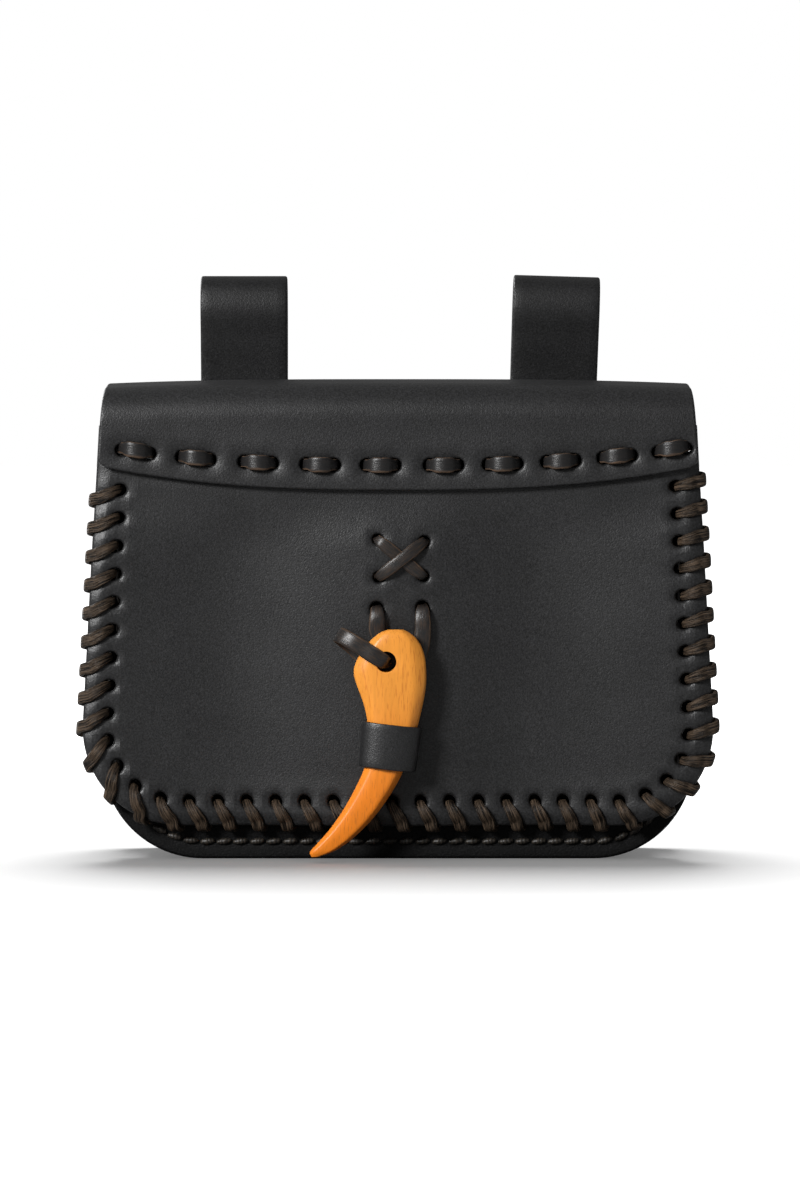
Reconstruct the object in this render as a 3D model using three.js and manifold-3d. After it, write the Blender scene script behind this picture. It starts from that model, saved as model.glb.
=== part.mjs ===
/**
 * Leather belt pouch with a laced front flap and a claw toggle.
 *
 * Millimetres, +Z up, the front faces -Y. The pouch stands on the floor, z = 0, on its two seam edges,
 * and the origin is the middle of its footprint.
 *
 * One piece of leather makes the back, folds over the top and ends as a band down the front. A flap hangs
 * from that band in front of the pocket. Depths (y) are first counted from the outer face of the back panel.
 */
import * as THREE from 'three';
import { mergeVertices } from 'three/addons/utils/BufferGeometryUtils.js';
import Module from 'manifold-3d';

// ---------------------------------------------------------------- driving dimensions, in millimetres

const LEATHER = 2.4; // body, flap, pocket and belt loops
const GUSSET_LEATHER = 2.0;
const RING_LEATHER = 1.1;
const CLEARANCE = 0.3; // between pieces that touch

// Outlines of the panels, seen from the front. flare is the slant of the sides, in degrees.
const FLAP = { half: 100.1, corner: 31.3, bottom: 11, top: 138.2, flare: 3.2 };
const POUCH = { half: 94.3, corner: 32, bottom: 0, flare: 0 };
const POCKET_MOUTH = 119;
const MOUTH_CORNER = 6;

const GUSSET_DEPTH = 32;
const GUSSET_TOP = 129;
const SEAM_ALLOWANCE = 8; // the gusset's edges turn out this far to be sewn
const GUSSET_BEND = 1.5;
const FLAP_ROOM = 4; // behind the flap, for the laces

const LID_TOP = 151.7; // where the two bends of the fold end
const LID_CROWN = 1; // the lid's rise between them
const LID_BACK_RADIUS = 8;
const LID_FRONT_RADIUS = 11;
const LID_DROOP = 1.4; // the ends of the fold hang this much lower than its middle
const LID_HALF = 92.9;
const BAND_HALF = 95; // at the band's lower edge
const BAND_FOLD_SHARE = 0.3; // of that widening, how much lies in the front bend
const BAND_BOTTOM = 117.6; // the lower edge, at its lowest
const BAND_RISE = 8; // and how much it has risen at the ends
const BAND_CURVE = 2.7; // the power of that curve

const WAVE = { height: 2.4, length: 96, crest: -4, from: 117.2, full: 98.2 }; // the flap's soft upright folds

const LOOP_WIDTH = 28;
const LOOP_PIVOT_Z = 141.6;
const LOOPS = [
  { name: 'belt_loop_left', x: -50, lean: 0 },
  { name: 'belt_loop_right', x: 50.3, lean: 1.7 },
];
// The middle of the strap's thickness, from its sewn end up the back, over the belt and down again.
const LOOP_ROUTE = [
  { y: 1.6, z: 97.6 },
  { y: 1.6, z: 119.6 },
  { y: 1.7, z: 139.6 },
  { y: 0.4, z: 153.6 },
  { y: -2.2, z: 166.6 },
  { y: -3.9, z: 177.4 },
  { y: -1.7, z: 182.7 },
  { y: 3.6, z: 184.9 },
  { y: 8.9, z: 182.7 },
  { y: 11.2, z: 176.1 },
  { y: 11.4, z: 163.6 },
  { y: 10.4, z: 149.6 },
  { y: 8.2, z: 135.6 },
  { y: 5.4, z: 123.6 },
  { y: 4.5, z: 114.6 },
  { y: 4.35, z: 97.6 },
];
const LOOP_STEPS = 44;

// Laces: width and thickness where they lie flat, and the width they are pinched to in a hole.
const EDGE = { width: 3.8, thickness: 1.1, pinched: 2.7, hole: 2.15, inset: 7.8, first: 117.7, stitches: 42 };
const RUNNING = { width: 4.8, thickness: 1.4, pinched: 3.2, hole: 2.6, reach: 4.4, crest: 0.6 };
const SEAM_RISE = 8; // of the running seam over the band's lower edge, at its lowest
const SEAM_CLIMB = 6.9; // and how much the seam has risen at the band's ends
const RUNNING_X = [-82.9, -63.9, -44.2, -24.6, -5.5, 14.4, 33.1, 51.5, 69.3, 86.7];
const CROSS = { width: 3.9, thickness: 1.2, pinched: 2.6, hole: 2.2, lift: 1.8 };
const CROSS_HOLES = {
  upperLeft: { x: -6.5, z: 102.2 },
  upperRight: { x: 8.4, z: 101.5 },
  lowerLeft: { x: -6.2, z: 90.1 },
  lowerRight: { x: 8.1, z: 90.4 },
};
const TETHER = { width: 5.2, thickness: 1.6, pinched: 3.2, hole: 2.6 };
const TETHER_HOLES = { left: { x: -6.7, z: 80.3 }, right: { x: 7.8, z: 80.6 } };
const TAIL = 11; // the hidden end of a lace, flat behind the flap

// By its place round the flap: how far a whipped stitch runs along the edge on the front, in stitches, and
// how much further along the edge its hole lies than even spacing would put it, in millimetres.
const EDGE_STITCHES = [
  { place: 0, lead: 0.38, slip: 0 },
  { place: 0.2, lead: 0.5, slip: 0.2 },
  { place: 0.27, lead: 0.64, slip: -0.4 },
  { place: 0.33, lead: 0.42, slip: 0.2 },
  { place: 0.57, lead: 0.4, slip: 3.7 },
  { place: 0.7, lead: 0.3, slip: 4.1 },
  { place: 0.78, lead: 0.25, slip: 1.9 },
  { place: 0.9, lead: 0.2, slip: 1.9 },
  { place: 1, lead: 0.14, slip: 1.2 },
];

// The claw from its round head down to its tip: level sections with their left and right sides.
const CLAW_ROOM = 2.6; // between the flap's crest and the claw's back
const CLAW_HOLE = { x: -3.8, z: 63.9, radius: 3.3 };
const CLAW_SECTIONS = [
  { z: 73.9, left: -3.4, right: 1.8, thick: 3.6 },
  { z: 73.2, left: -5.2, right: 3.2, thick: 5.0 },
  { z: 71.8, left: -7.2, right: 5.1, thick: 6.2 },
  { z: 69.7, left: -9.4, right: 6.8, thick: 6.8 },
  { z: 67, left: -11.5, right: 8.0, thick: 7.0 },
  { z: 63.8, left: -13.2, right: 8.7, thick: 7.1 },
  { z: 60.8, left: -14.0, right: 8.9, thick: 7.2 },
  { z: 57.6, left: -13.4, right: 8.9, thick: 7.3 },
  { z: 53.2, left: -11.8, right: 8.4, thick: 7.4 },
  { z: 48.4, left: -10.3, right: 7.4, thick: 7.5 },
  { z: 43.4, left: -9.6, right: 6.2, thick: 7.5 },
  { z: 37.2, left: -9.6, right: 4.6, thick: 7.4 },
  { z: 30.2, left: -10.6, right: 2.1, thick: 7.2 },
  { z: 26, left: -12.4, right: 0.1, thick: 7.0 },
  { z: 20.9, left: -15.0, right: -3.0, thick: 6.6 },
  { z: 15.2, left: -18.4, right: -7.1, thick: 5.8 },
  { z: 9.6, left: -22.5, right: -12.4, thick: 4.8 },
  { z: 5.8, left: -25.9, right: -17.0, thick: 4.0 },
  { z: 3.2, left: -27.9, right: -21.6, thick: 3.2 },
  { z: 2.1, left: -27.4, right: -25.0, thick: 2.2 },
];
// One section's outline: shares of its half width and half thickness, with chamfers front and back.
const CLAW_OUTLINE = [
  { across: 1, deep: 0 },
  { across: 0.9, deep: 0.5 },
  { across: 0.6, deep: 0.93 },
  { across: 0.15, deep: 1 },
  { across: -0.15, deep: 1 },
  { across: -0.6, deep: 0.93 },
  { across: -0.9, deep: 0.5 },
  { across: -1, deep: 0 },
  { across: -0.9, deep: -0.5 },
  { across: -0.6, deep: -0.93 },
  { across: -0.15, deep: -1 },
  { across: 0.15, deep: -1 },
  { across: 0.6, deep: -0.93 },
  { across: 0.9, deep: -0.5 },
];

// The ring round the claw, in its own plane, and the slit in the flap that its two ends go through.
const RING = { x: -2.6, z: 37, tilt: 6.5, height: 14.3, halfTop: 9.6, halfBottom: 9.1, power: 2.6 };
const RING_TAB = 8; // each end lies this far along the pocket's front
const RING_TAIL_X = 0.95; // the two ends pass through the slit side by side
const SLIT = { width: 3.8, height: 15.6 };

// ---------------------------------------------------------------- depths worked out from them

const BACK_FACE = 0;
const BACK_INSIDE = BACK_FACE - LEATHER;
const GUSSET_BACK = BACK_INSIDE - CLEARANCE;
const GUSSET_FRONT = GUSSET_BACK - GUSSET_DEPTH;
const POCKET_INSIDE = GUSSET_FRONT - CLEARANCE;
const POCKET_FACE = POCKET_INSIDE - LEATHER;
const FLAP_REAR = POCKET_FACE - FLAP_ROOM;
const FLAP_FACE = FLAP_REAR - LEATHER;
const BAND_FACE = FLAP_FACE - CLEARANCE - LEATHER;
const CLAW_BACK = FLAP_FACE - WAVE.height - CLAW_ROOM;
const CLAW_MIDDLE = CLAW_BACK - Math.max(...CLAW_SECTIONS.map(({ thick }) => thick)) / 2;

const HOLE_SIDES = 8;
const CUTTER_LENGTH = 14;

// ---------------------------------------------------------------- materials

const blackLeather = { color: 0x202022, roughness: 0.5, metalness: 0 };
const brownLace = { color: 0x3a2d24, roughness: 0.65, metalness: 0 };
const orangeWood = { color: 0xd9771f, roughness: 0.45, metalness: 0 };

// ---------------------------------------------------------------- closed solids from grids of points

const v3 = (x, y, z) => new THREE.Vector3(x, y, z);
const mix = THREE.MathUtils.lerp;

/** A closed geometry from points and triangles, turned so that its faces point out. */
function closedGeometry(points, triangles) {
  const signedVolume = ([a, b, c]) => points[a].dot(points[b].clone().cross(points[c]));
  const volume = triangles.reduce((sum, triangle) => sum + signedVolume(triangle), 0);
  const index = triangles.flatMap(([a, b, c]) => (volume > 0 ? [a, b, c] : [a, c, b]));
  return new THREE.BufferGeometry().setFromPoints(points).setIndex(index);
}

/** A wall of leather between two grids of points. A closed wall joins its last row to its first. */
function wall(outer, inner, closed = false) {
  const rows = outer.length;
  const columns = outer[0].length;
  const last = columns - 1;
  const triangles = [];
  const at = (side, row, column) => (side * rows + (row % rows)) * columns + column;
  const quad = (a, b, c, d) => triangles.push([a, b, c], [a, c, d]);
  for (let row = 0; row < (closed ? rows : rows - 1); row++) {
    const next = row + 1;
    for (let column = 0; column < last; column++) {
      quad(at(0, row, column), at(0, row, column + 1), at(0, next, column + 1), at(0, next, column));
      quad(at(1, row, column), at(1, next, column), at(1, next, column + 1), at(1, row, column + 1));
    }
    quad(at(0, row, 0), at(0, next, 0), at(1, next, 0), at(1, row, 0));
    quad(at(0, row, last), at(1, row, last), at(1, next, last), at(0, next, last));
  }
  for (let column = 0; column < last && !closed; column++) {
    const end = rows - 1;
    quad(at(0, 0, column), at(1, 0, column), at(1, 0, column + 1), at(0, 0, column + 1));
    quad(at(0, end, column), at(0, end, column + 1), at(1, end, column + 1), at(1, end, column));
  }
  return closedGeometry([...outer.flat(), ...inner.flat()], triangles);
}

/** A strip of leather along stations { at, up, width, thickness }, where up is the way its face looks. */
function strap(stations, closed = false) {
  const count = stations.length;
  const outer = [];
  const inner = [];
  stations.forEach(({ at, up, width, thickness }, i) => {
    const before = stations[closed ? (i + count - 1) % count : Math.max(i - 1, 0)];
    const after = stations[closed ? (i + 1) % count : Math.min(i + 1, count - 1)];
    const along = after.at.clone().sub(before.at).normalize();
    const across = along.clone().cross(up).normalize();
    const lift = across.clone().cross(along).multiplyScalar(thickness / 2);
    const side = across.multiplyScalar(width / 2);
    outer.push([at.clone().add(lift).sub(side), at.clone().add(lift).add(side)]);
    inner.push([at.clone().sub(lift).sub(side), at.clone().sub(lift).add(side)]);
  });
  return wall(outer, inner, closed);
}

/** A solid through rings of points with the same count, with a flat end on the first and the last. */
function loft(rings) {
  const count = rings[0].length;
  const triangles = [];
  rings.slice(1).forEach((_, row) => {
    for (let i = 0; i < count; i++) {
      const [a, b] = [row * count + i, row * count + ((i + 1) % count)];
      triangles.push([a, b, b + count], [a, b + count, a + count]);
    }
  });
  const end = (rings.length - 1) * count;
  for (let i = 1; i < count - 1; i++) {
    triangles.push([0, i + 1, i], [end, end + i, end + i + 1]);
  }
  return closedGeometry(rings.flat(), triangles);
}

// ---------------------------------------------------------------- cutting

const wasm = await Module();
wasm.setup();

function toSolid(geometry) {
  const bare = new THREE.BufferGeometry().setAttribute('position', geometry.getAttribute('position'));
  bare.setIndex(geometry.getIndex());
  const merged = mergeVertices(bare);
  const vertProperties = new Float32Array(merged.getAttribute('position').array);
  const triVerts = new Uint32Array(merged.getIndex().array);
  return new wasm.Manifold(new wasm.Mesh({ numProp: 3, vertProperties, triVerts }));
}

/** The geometry less every cutter. */
function cut(geometry, cutters) {
  const solid = cutters.reduce((rest, cutter) => rest.subtract(toSolid(cutter)), toSolid(geometry));
  const { vertProperties, triVerts } = solid.getMesh();
  const result = new THREE.BufferGeometry();
  result.setAttribute('position', new THREE.BufferAttribute(vertProperties, 3));
  return result.setIndex(new THREE.BufferAttribute(triVerts, 1));
}

/** A cutter for a round hole from front to back. */
function hole({ x, z }, radius, depth = FLAP_FACE, sides = HOLE_SIDES) {
  return new THREE.CylinderGeometry(radius, radius, CUTTER_LENGTH, sides).translate(x, depth, z);
}

// ---------------------------------------------------------------- outlines and surfaces

/** Draws down the left side of a panel, round the bottom and up its right side, brought in by an inset. */
function sidesAndBottom({ half, corner, bottom, top, flare }, inset = 0, path = new THREE.Path()) {
  const slant = THREE.MathUtils.degToRad(flare);
  const centre = { x: half - corner, z: bottom + corner };
  const radius = corner - inset;
  const shoulder = { x: centre.x + radius * Math.cos(slant), z: centre.z + radius * Math.sin(slant) };
  const topX = shoulder.x - (top - shoulder.z) * Math.tan(slant);
  path.moveTo(-topX, top);
  path.lineTo(-shoulder.x, shoulder.z);
  path.absarc(-centre.x, centre.z, radius, Math.PI - slant, 1.5 * Math.PI, false);
  path.lineTo(centre.x, bottom + inset);
  path.absarc(centre.x, centre.z, radius, -0.5 * Math.PI, slant, false);
  path.lineTo(topX, top);
  return path;
}

/** Heights and half widths of a panel, from its bottom edge up its rounded corners to its sides. */
function cornerRows({ half, corner, bottom, flare }, steps) {
  return Array.from({ length: steps + 1 }, (_, i) => {
    const angle = THREE.MathUtils.degToRad(mix(-90, flare, i / steps));
    return { z: bottom + corner + corner * Math.sin(angle), half: half - corner + corner * Math.cos(angle) };
  });
}

/** The flap's half width on its straight sides. */
function flapHalf(z) {
  const slant = THREE.MathUtils.degToRad(FLAP.flare);
  const shoulder = FLAP.bottom + FLAP.corner * (1 + Math.sin(slant));
  return FLAP.half - FLAP.corner * (1 - Math.cos(slant)) - (z - shoulder) * Math.tan(slant);
}

/** The depth of the flap's front: flat under the band, with soft upright folds below it. */
function flapFace(x, z) {
  const fold = 0.5 + 0.5 * Math.cos((2 * Math.PI * (x - WAVE.crest)) / WAVE.length);
  const share = 1 - THREE.MathUtils.smoothstep(z, WAVE.full, WAVE.from);
  return FLAP_FACE - WAVE.height * fold * share;
}

const bandEdge = (x) => BAND_BOTTOM + BAND_RISE * Math.abs(x / BAND_HALF) ** BAND_CURVE;
const runningSeam = (x) => BAND_BOTTOM + SEAM_RISE + SEAM_CLIMB * Math.abs(x / BAND_HALF) ** BAND_CURVE;

/** The two holes of each running stitch. */
const runningHoles = RUNNING_X.flatMap((x) => [x - RUNNING.reach, x + RUNNING.reach])
  .map((x) => ({ x, z: runningSeam(x) }));

// ---------------------------------------------------------------- leather panels

/** Back, fold and band: level rows up the back, over the two bends of the fold and down the front. */
function backPanel() {
  const fold = (y, radius) => ({ y, z: LID_TOP - radius, radius });
  const backFold = fold(BACK_FACE - LID_BACK_RADIUS, LID_BACK_RADIUS);
  const frontFold = fold(BAND_FACE + LID_FRONT_RADIUS, LID_FRONT_RADIUS);
  // turn is the way the outer face looks: 0 is back, a quarter turn is up and a half turn is front.
  const up = Math.PI / 2;
  const bent = ({ y, z, radius }, turn) => (
    { y: y + radius * Math.cos(turn), z: z + radius * Math.sin(turn), turn }
  );
  const rows = cornerRows(POUCH, 8).map(({ z, half }) => ({ y: BACK_FACE, z, half, turn: 0, droop: 0 }));
  rows.push({ y: BACK_FACE, z: GUSSET_TOP, half: POUCH.half, turn: 0, droop: 0 });
  for (const share of [0, 0.2, 0.4, 0.6, 0.8, 1]) {
    rows.push({ ...bent(backFold, share * up), half: mix(POUCH.half, LID_HALF, share), droop: LID_DROOP });
  }
  for (const share of [0.25, 0.5, 0.75]) {
    const z = LID_TOP + LID_CROWN * 4 * share * (1 - share);
    rows.push({ y: mix(backFold.y, frontFold.y, share), z, half: LID_HALF, turn: up, droop: LID_DROOP });
  }
  for (const share of [0, 1 / 6, 1 / 3, 1 / 2, 2 / 3, 5 / 6, 1]) {
    const half = mix(LID_HALF, BAND_HALF, BAND_FOLD_SHARE * share);
    rows.push({ ...bent(frontFold, (1 + share) * up), half, droop: LID_DROOP });
  }
  // Down the band, share goes from the bend to the curved lower edge.
  for (const share of [1 / 3, 2 / 3, 1]) {
    const half = mix(LID_HALF, BAND_HALF, mix(BAND_FOLD_SHARE, 1, share));
    rows.push({ y: BAND_FACE, z: frontFold.z, half, turn: Math.PI, droop: LID_DROOP * (1 - share), share });
  }
  const columns = [-1, -0.95, -0.88, -0.78, -0.66, -0.5, -0.3, 0, 0.3, 0.5, 0.66, 0.78, 0.88, 0.95, 1];
  const side = (thickness) => rows.map(({ y, z, half, turn, droop, share = 0 }) => columns.map((column) => {
    const x = half * column;
    const height = mix(z - droop * Math.abs(column) ** 3, bandEdge(x), share);
    return v3(x, y - thickness * Math.cos(turn), height - thickness * Math.sin(turn));
  }));
  return cut(wall(side(0), side(LEATHER)), runningHoles.map((place) => hole(place, RUNNING.hole, BAND_FACE)));
}

/** The front flap, with holes for its laces and the slit for the ring. */
function frontFlap() {
  const columns = Array.from({ length: 27 }, (_, i) => -1 + i / 13);
  const rows = cornerRows(FLAP, 9);
  for (const z of [70, WAVE.full, 101, 105, 109, 113, WAVE.from, FLAP.top]) {
    rows.push({ z, half: flapHalf(z) });
  }
  const side = (thickness) => rows.map(({ z, half }) => columns.map((column) => {
    const x = half * column;
    return v3(x, flapFace(x, z) + thickness, z);
  }));
  const slit = new THREE.BoxGeometry(SLIT.width, CUTTER_LENGTH, SLIT.height);
  slit.rotateY(THREE.MathUtils.degToRad(RING.tilt)).translate(RING.x, FLAP_FACE, RING.z);
  return cut(wall(side(0), side(LEATHER)), [
    ...edgeHoles().map((place) => hole(place, EDGE.hole)),
    ...runningHoles.map((place) => hole(place, RUNNING.hole)),
    ...Object.values(CROSS_HOLES).map((place) => hole(place, CROSS.hole)),
    ...Object.values(TETHER_HOLES).map((place) => hole(place, TETHER.hole)),
    slit,
  ]);
}

/** The pocket's front: a flat panel with an open top edge. */
function pocketFront() {
  const centre = { x: POUCH.half - MOUTH_CORNER, z: POCKET_MOUTH - MOUTH_CORNER };
  const shape = sidesAndBottom({ ...POUCH, top: centre.z }, 0, new THREE.Shape());
  shape.absarc(centre.x, centre.z, MOUTH_CORNER, 0, Math.PI / 2, false);
  shape.absarc(-centre.x, centre.z, MOUTH_CORNER, Math.PI / 2, Math.PI, false);
  const panel = new THREE.ExtrudeGeometry(shape, { depth: LEATHER, bevelEnabled: false, curveSegments: 6 });
  return panel.rotateX(Math.PI / 2).translate(0, POCKET_INSIDE, 0);
}

/** The gusset: a channel round the sides and bottom, whose edges turn out to be sewn to the panels. */
function gusset() {
  const { half, corner, bottom, flare } = POUCH;
  // One side of the channel's section: away is its distance from the panels in front and behind.
  const section = (inset, away) => [
    { inset: 0, deep: away },
    { inset: inset - GUSSET_BEND, deep: away },
    { inset, deep: away + GUSSET_BEND },
    { inset, deep: GUSSET_DEPTH - away - GUSSET_BEND },
    { inset: inset - GUSSET_BEND, deep: GUSSET_DEPTH - away },
    { inset: 0, deep: GUSSET_DEPTH - away },
  ];
  const side = (places) => {
    const lines = places.map(({ inset, deep }) => {
      const inner = { half: half - inset, corner: corner - inset, bottom: bottom + inset, flare };
      const rows = [...cornerRows(inner, 10), { z: GUSSET_TOP, half: inner.half }];
      const right = rows.map((row) => v3(row.half, GUSSET_BACK - deep, row.z));
      const left = rows.map((row) => v3(-row.half, GUSSET_BACK - deep, row.z));
      return [...left.reverse(), ...right];
    });
    return lines[0].map((_, step) => lines.map((line) => line[step]));
  };
  return wall(
    side(section(SEAM_ALLOWANCE, GUSSET_LEATHER)),
    side(section(SEAM_ALLOWANCE + GUSSET_LEATHER, 0)),
  );
}

/** A belt loop: one strap doubled over, with its ends sewn one on the other to the back. */
function beltLoop() {
  const route = new THREE.CatmullRomCurve3(LOOP_ROUTE.map(({ y, z }) => v3(0, y, z)));
  const stations = Array.from({ length: LOOP_STEPS + 1 }, (_, i) => {
    const along = route.getTangentAt(i / LOOP_STEPS);
    const up = v3(0, -along.z, along.y);
    return { at: route.getPointAt(i / LOOP_STEPS), up, width: LOOP_WIDTH, thickness: LEATHER };
  });
  return strap(stations).translate(0, 0, -LOOP_PIVOT_Z);
}

// ---------------------------------------------------------------- laces

/** The line of holes round the flap's edge, by length from its first hole, and every whipped stitch on it. */
function edgeLine() {
  const path = sidesAndBottom(FLAP, EDGE.inset);
  const length = path.getLength();
  const start = (FLAP.top - EDGE.first) / Math.cos(THREE.MathUtils.degToRad(FLAP.flare));
  const pitch = (length - 2 * start) / (EDGE.stitches - 1);
  const frame = (distance) => {
    const share = (start + distance) / length;
    const along = path.getTangent(share);
    return { at: path.getPoint(share), out: new THREE.Vector2(along.y, -along.x) };
  };
  const stitches = Array.from({ length: EDGE.stitches }, (_, i) => {
    const place = i / (EDGE.stitches - 1);
    const next = Math.max(1, EDGE_STITCHES.findIndex((row) => row.place >= place));
    const [a, b] = [EDGE_STITCHES[next - 1], EDGE_STITCHES[next]];
    const share = (place - a.place) / (b.place - a.place);
    const here = i * pitch + mix(a.slip, b.slip, share);
    return { here, over: here + mix(a.lead, b.lead, share) * pitch };
  });
  return { frame, pitch, stitches };
}

function edgeHoles() {
  const { frame, stitches } = edgeLine();
  return stitches.map(({ here }) => {
    const { at } = frame(here);
    return { x: at.x, z: at.y };
  });
}

/** The lace whipped round the flap's edge: out of a hole, over the edge, and back behind to the next hole. */
function edgeLace() {
  const { frame, pitch, stitches } = edgeLine();
  const { inset, thickness, width, pinched } = EDGE;
  const rise = thickness / 2 + CLEARANCE + 0.1;
  const stations = [];
  // inward is from the flap's edge, behind is from its front face; tip says which way the lace's face looks.
  const add = (distance, inward, behind, tip, size = width) => {
    const { at, out } = frame(distance);
    const x = at.x + out.x * (inset - inward);
    const z = at.y + out.y * (inset - inward);
    const up = v3(out.x * tip.out, tip.back, out.y * tip.out);
    stations.push({ at: v3(x, flapFace(x, z) + behind, z), up, width: size, thickness });
  };
  const corner = rise; // how far the lace swings out past the flap's edge and past its faces
  const rear = LEATHER + rise;
  const narrowed = pinched + 0.2;
  add(-pitch / 2, 1.2, rear + 0.15, { out: 0, back: 1 });
  for (const { here, over } of stitches) {
    add(here - 0.5, inset - 1.4, rear + 0.3, { out: 0, back: 1 }, narrowed);
    add(here - 0.1, inset + 0.2, LEATHER, { out: -1, back: 0.6 }, pinched);
    add(here, inset + 0.2, 0, { out: -1, back: -0.6 }, pinched);
    add(here + 0.4, inset - 1.4, -rise - 0.3, { out: 0, back: -1 }, narrowed);
    add(mix(here, over, 0.86), 0.8, -rise - 0.25, { out: 0, back: -1 });
    add(over, -corner, -corner, { out: 1, back: -1 });
    add(over + 0.4, -corner - 0.2, LEATHER / 2, { out: 1, back: 0 });
    add(over + 0.8, -corner, LEATHER + corner, { out: 1, back: 1 });
    add(over + 1.4, 0.8, rear + 0.25, { out: 0, back: 1 });
  }
  return strap(stations);
}

/** The lace that joins the band to the flap, in and out through both. */
function runningLace() {
  const { thickness, width, pinched, reach, crest } = RUNNING;
  const rise = thickness / 2 + CLEARANCE + 0.2;
  const front = BAND_FACE - rise;
  const rear = FLAP_REAR + rise;
  const stations = [];
  // The side that faces back behind the flap faces back in front too: lean turns it along the seam in a hole.
  const add = (x, y, lean, size) => {
    stations.push({ at: v3(x, y, runningSeam(x)), up: v3(lean, 1, 0), width: size, thickness });
  };
  add(RUNNING_X[0] - TAIL, rear, 0, pinched);
  for (const x of RUNNING_X) {
    add(x - reach - 1.6, rear, 0, pinched);
    add(x - reach - 0.2, FLAP_REAR, 1.2, pinched);
    add(x - reach - 0.2, BAND_FACE, 1.2, pinched);
    add(x - reach + 1.5, front, 0, (width + pinched) / 2);
    add(x, front - crest, 0, width);
    add(x + reach - 1.5, front, 0, (width + pinched) / 2);
    add(x + reach + 0.2, BAND_FACE, -1.2, pinched);
    add(x + reach + 0.2, FLAP_REAR, -1.2, pinched);
    add(x + reach + 1.6, rear, 0, pinched);
  }
  return strap(stations);
}

/** The crossed lace: one loop with two slanting strands in front and two upright ones behind. */
function crossLace() {
  const { thickness, width, pinched, lift } = CROSS;
  const { upperLeft, upperRight, lowerLeft, lowerRight } = CROSS_HOLES;
  const rise = thickness / 2 + CLEARANCE;
  const stations = [];
  const strand = (from, to, front, over) => {
    const way = new THREE.Vector2(to.x - from.x, to.z - from.z);
    const length = way.length();
    way.normalize();
    const face = front ? -1 : 1;
    const level = front ? -rise : LEATHER + rise;
    const mouth = front ? -0.1 : LEATHER + 0.1;
    const add = (distance, depth, lean, size) => {
      const x = from.x + way.x * distance;
      const z = from.z + way.y * distance;
      const up = v3(way.x * lean, face, way.y * lean);
      stations.push({ at: v3(x, flapFace(x, z) + depth, z), up, width: size, thickness });
    };
    const near = level + face * 0.25;
    add(0, mouth, -1.4, pinched);
    add(1.7, near, 0, pinched + 0.3);
    add(length / 2, near + face * over, 0, front ? width : pinched);
    add(length - 1.7, near, 0, pinched + 0.3);
    add(length, mouth, 1.4, pinched);
  };
  strand(lowerLeft, upperRight, true, lift);
  strand(upperRight, lowerRight, false, 0);
  strand(lowerRight, upperLeft, true, 0);
  strand(upperLeft, lowerLeft, false, 0);
  return strap(stations, true);
}

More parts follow.
